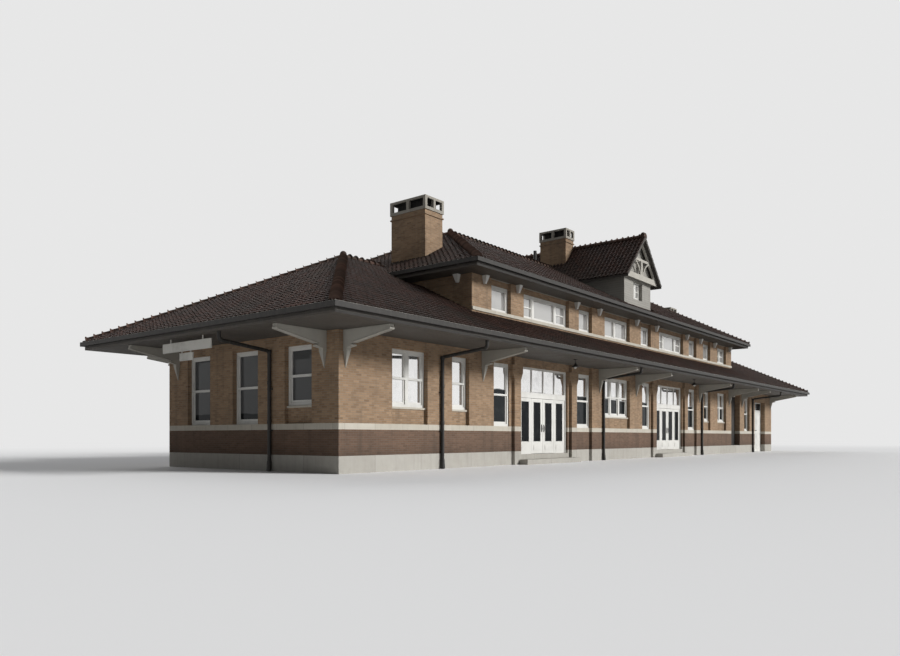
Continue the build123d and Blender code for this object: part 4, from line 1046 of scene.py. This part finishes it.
def dressBrackets():
    k, ceiling = bracketTrim, building["ceiling"]
    beads, fields = Pile(), Pile()
    nose, heel = np.array((k["reach"], ceiling - k["nose"])), np.array(k["heel"])
    slope = (nose - heel) / np.linalg.norm(nose - heel)
    edge = np.stack([heel + slope * k["beadEnds"][0], nose - slope * k["beadEnds"][1]])
    inward = np.array((-slope[1], slope[0])) * k["fieldInset"]
    atHeel, atNose = k["fieldEnds"]
    top = ceiling - k["fieldTop"]
    field = np.array([heel + inward + slope * atHeel, nose + inward - slope * atNose,
                      (nose[0] - atNose, top), (k["root"], top), (k["root"], k["plate"])])
    count = len(field)
    turns = np.arange(count)
    band = gridQuads(2, count, closed=True)
    fan = np.stack([turns, (turns + 1) % count, np.full(count, count)], 1)
    rolls = ((nose + k["rollOffset"], k["roll"]),
             (np.array(k["scroll"]) + (k["rollOffset"][0], 0), k["scrollRoll"]))

    for low, high in solidsOf("lower_brackets"):
        away = 0 if high[0] - low[0] > high[1] - low[1] else 1      # the axis that it reaches out along
        face = -1.0 if low[away] < 0 else 1.0
        base, out, across = np.zeros((3, 3))
        base[away] = face * (halfLength, halfWidth)[away]
        base[1 - away] = (low[1 - away] + high[1 - away]) / 2
        out[away], across[1 - away] = face, 1.0

        def spots(points):
            # Places on the bracket's middle plane
            points = np.atleast_2d(points)
            return base + points[:, :1] * out + points[:, 1:] * (0, 0, 1)

        for way in (-1, 1):
            pipeInto(beads, spots(edge) + across * way * (k["half"] - k["beadSunk"]), k["bead"], 8)
            outline = spots(field) + across * way * k["half"]
            raised = outline + across * way * k["fieldProud"]
            # Turned over where the outline would run the wrong way round
            turned = slice(None, None, 1 if np.cross(out, (0, 0, 1)) @ across * way > 0 else -1)
            fields.add(np.stack([outline, raised]), band[:, turned])
            fields.add(np.concatenate([raised, raised.mean(0, keepdims=True)]), tris=fan[:, turned])
        for place, radius in rolls:
            half = across * (k["half"] + k["rollProud"])
            ends = [spots(place)[0] + half * share for share in (-1.001, -1, 1, 1.001)]
            pipeInto(beads, ends, (0.001, radius, radius, 0.001), 14)
    beads.build("bracket_beads", bracketPaint, smooth=True, sharp=50)
    fields.build("bracket_cheeks", bracketPaint)


dressBrackets()
print("brackets dressed")


# Lamps: a rose at the soffit, a rolled rim to each shade, and a bulb
lampTrim = {
    "rose": (0.045, 0.016), "roseSteps": (1, 0.3, 0), "roseSwell": (0.55, 1, 1),
    "rim": 0.004, "rimInset": 0.002,
    "bulb": 0.026, "bulbDrop": 0.0064,       # its middle below the shade's rim
}
enamel = makeMetal("white enamel", (0.640, 0.630, 0.600), (0.42, 0.40, 0.36), roughness=0.25)


def dressLamps():
    k = lampTrim
    rims, bulbs = Pile(), Pile()
    turn, fall = np.linspace(0, 2 * math.pi, 25), np.linspace(0.05, math.pi - 0.05, 9)
    rose, height = k["rose"]
    for low, high in solidsOf("pendant_lamps"):
        x, y = (low[:2] + high[:2]) / 2
        radius = (high[0] - low[0]) / 2 - k["rimInset"]
        level = low[2] + k["rimInset"]
        rim = [(x + radius * math.cos(t), y + radius * math.sin(t), level) for t in turn]
        pipeInto(rims, rim, k["rim"], 8)
        pipeInto(rims, [(x, y, high[2] - height * step) for step in k["roseSteps"]],
                 rose * np.array(k["roseSwell"]), 20)
        levels = low[2] - k["bulbDrop"] - k["bulb"] * np.cos(fall)
        pipeInto(bulbs, [(x, y, z) for z in levels], k["bulb"] * np.sin(fall), 14)
    rims.build("lamp_rims", darkPaint, smooth=True)
    bulbs.build("lamp_bulbs", enamel, smooth=True)


dressLamps()
print("lamps dressed")


# Light, floor and camera
studio = {
    "sunTurn": 24.0, "sunHeight": 23.0,      # degrees: round from straight in front towards the right, and up
    "sunStrength": 3.9, "sunSoftness": 16.0,
    "skyStrength": 0.14,
    "rearTurn": 152.0, "rearHeight": 28.0, "rearStrength": 1.3, "rearSoftness": 70.0,
    "backdrop": 0.80, "fade": (1.5, 30.0),   # tone behind, and where the floor passes into it
    "floorTone": 0.84,
    "floorSize": 400.0,
    "cameraPlace": (-18.189, -9.786, 0.525),
    "cameraLook": (0.77814, 0.62809, 0.0),
    "cameraLens": 29.56, "cameraShift": (0.0133, 0.1211),
}


def setStudio():
    scene = bpy.context.scene
    scene.view_settings.view_transform = "Standard"
    for name in ("sun", "rear"):
        turn, height = math.radians(studio[name + "Turn"]), math.radians(studio[name + "Height"])
        level = math.cos(height)
        shine = Vector((-math.sin(turn) * level, math.cos(turn) * level, -math.sin(height)))
        lamp = bpy.data.objects.new(name, bpy.data.lights.new(name, "SUN"))
        lamp.data.energy, lamp.data.angle = studio[name + "Strength"], math.radians(studio[name + "Softness"])
        lamp.rotation_euler = shine.to_track_quat("-Z", "Y").to_euler()
        scene.collection.objects.link(lamp)

    # The world lights the part at skyStrength. The camera sees it as the pale backdrop, and reflections
    # see it white.
    world = bpy.data.worlds.new("studio")
    scene.world = world
    sky = Nodes(world)
    seen = sky.lightPath("Camera").most(sky.lightPath("Transmission"))
    backdrop = (studio["backdrop"],) * 3
    soft = {"Color": (0.94, 0.96, 1.0), "Strength": studio["skyStrength"]}
    pale = {"Color": sky.blend(seen, (1.0, 1.0, 1.0), backdrop), "Strength": 1.0}
    grounds = {0: seen.most(sky.lightPath("Glossy")), 1: sky.put("ShaderNodeBackground", {}, soft),
               2: sky.put("ShaderNodeBackground", {}, pale)}
    sky.put("ShaderNodeOutputWorld", {}, {"Surface": sky.put("ShaderNodeMixShader", {}, grounds)}, None)

    floorPaper = Paint("studio_floor", specular=0.0)
    floorTone = (studio["floorTone"],) * 3
    floorPaper.finish(floorPaper.blend(floorPaper.noise(0.3) * 0.04, floorTone, shade(floorTone, 0.96)), 0.95)
    # To the camera the floor passes into the backdrop with its distance from the walls
    clearX, clearY = [(value.size() - half).most(0.0) for value, half in
                      ((floorPaper.x, halfLength), (floorPaper.y, halfWidth))]
    away = (clearX * clearX + clearY * clearY).root()
    faded = {0: floorPaper.between(away, *studio["fade"]) * floorPaper.lightPath("Camera"),
             1: floorPaper.body, 2: floorPaper.put("ShaderNodeEmission", {}, {"Color": backdrop})}
    floorPaper.set(floorPaper.output, "Surface", floorPaper.put("ShaderNodeMixShader", {}, faded))
    half = studio["floorSize"] / 2
    mesh = bpy.data.meshes.new("studio_floor")
    corners = [(-half, -half, 0), (half, -half, 0), (half, half, 0), (-half, half, 0)]
    mesh.from_pydata(corners, [], [(0, 1, 2, 3)])
    mesh.materials.append(floorPaper.material)
    floor = bpy.data.objects.new("studio_floor", mesh)
    scene.collection.objects.link(floor)

    camera = bpy.data.objects.new("camera", bpy.data.cameras.new("camera"))
    camera.location = studio["cameraPlace"]
    camera.rotation_euler = Vector(studio["cameraLook"]).to_track_quat("-Z", "Y").to_euler()
    camera.data.lens, camera.data.sensor_width = studio["cameraLens"], 36.0
    camera.data.shift_x, camera.data.shift_y = studio["cameraShift"]
    camera.data.clip_end = 500.0
    scene.collection.objects.link(camera)
    scene.camera = camera


setStudio()
print("studio set")
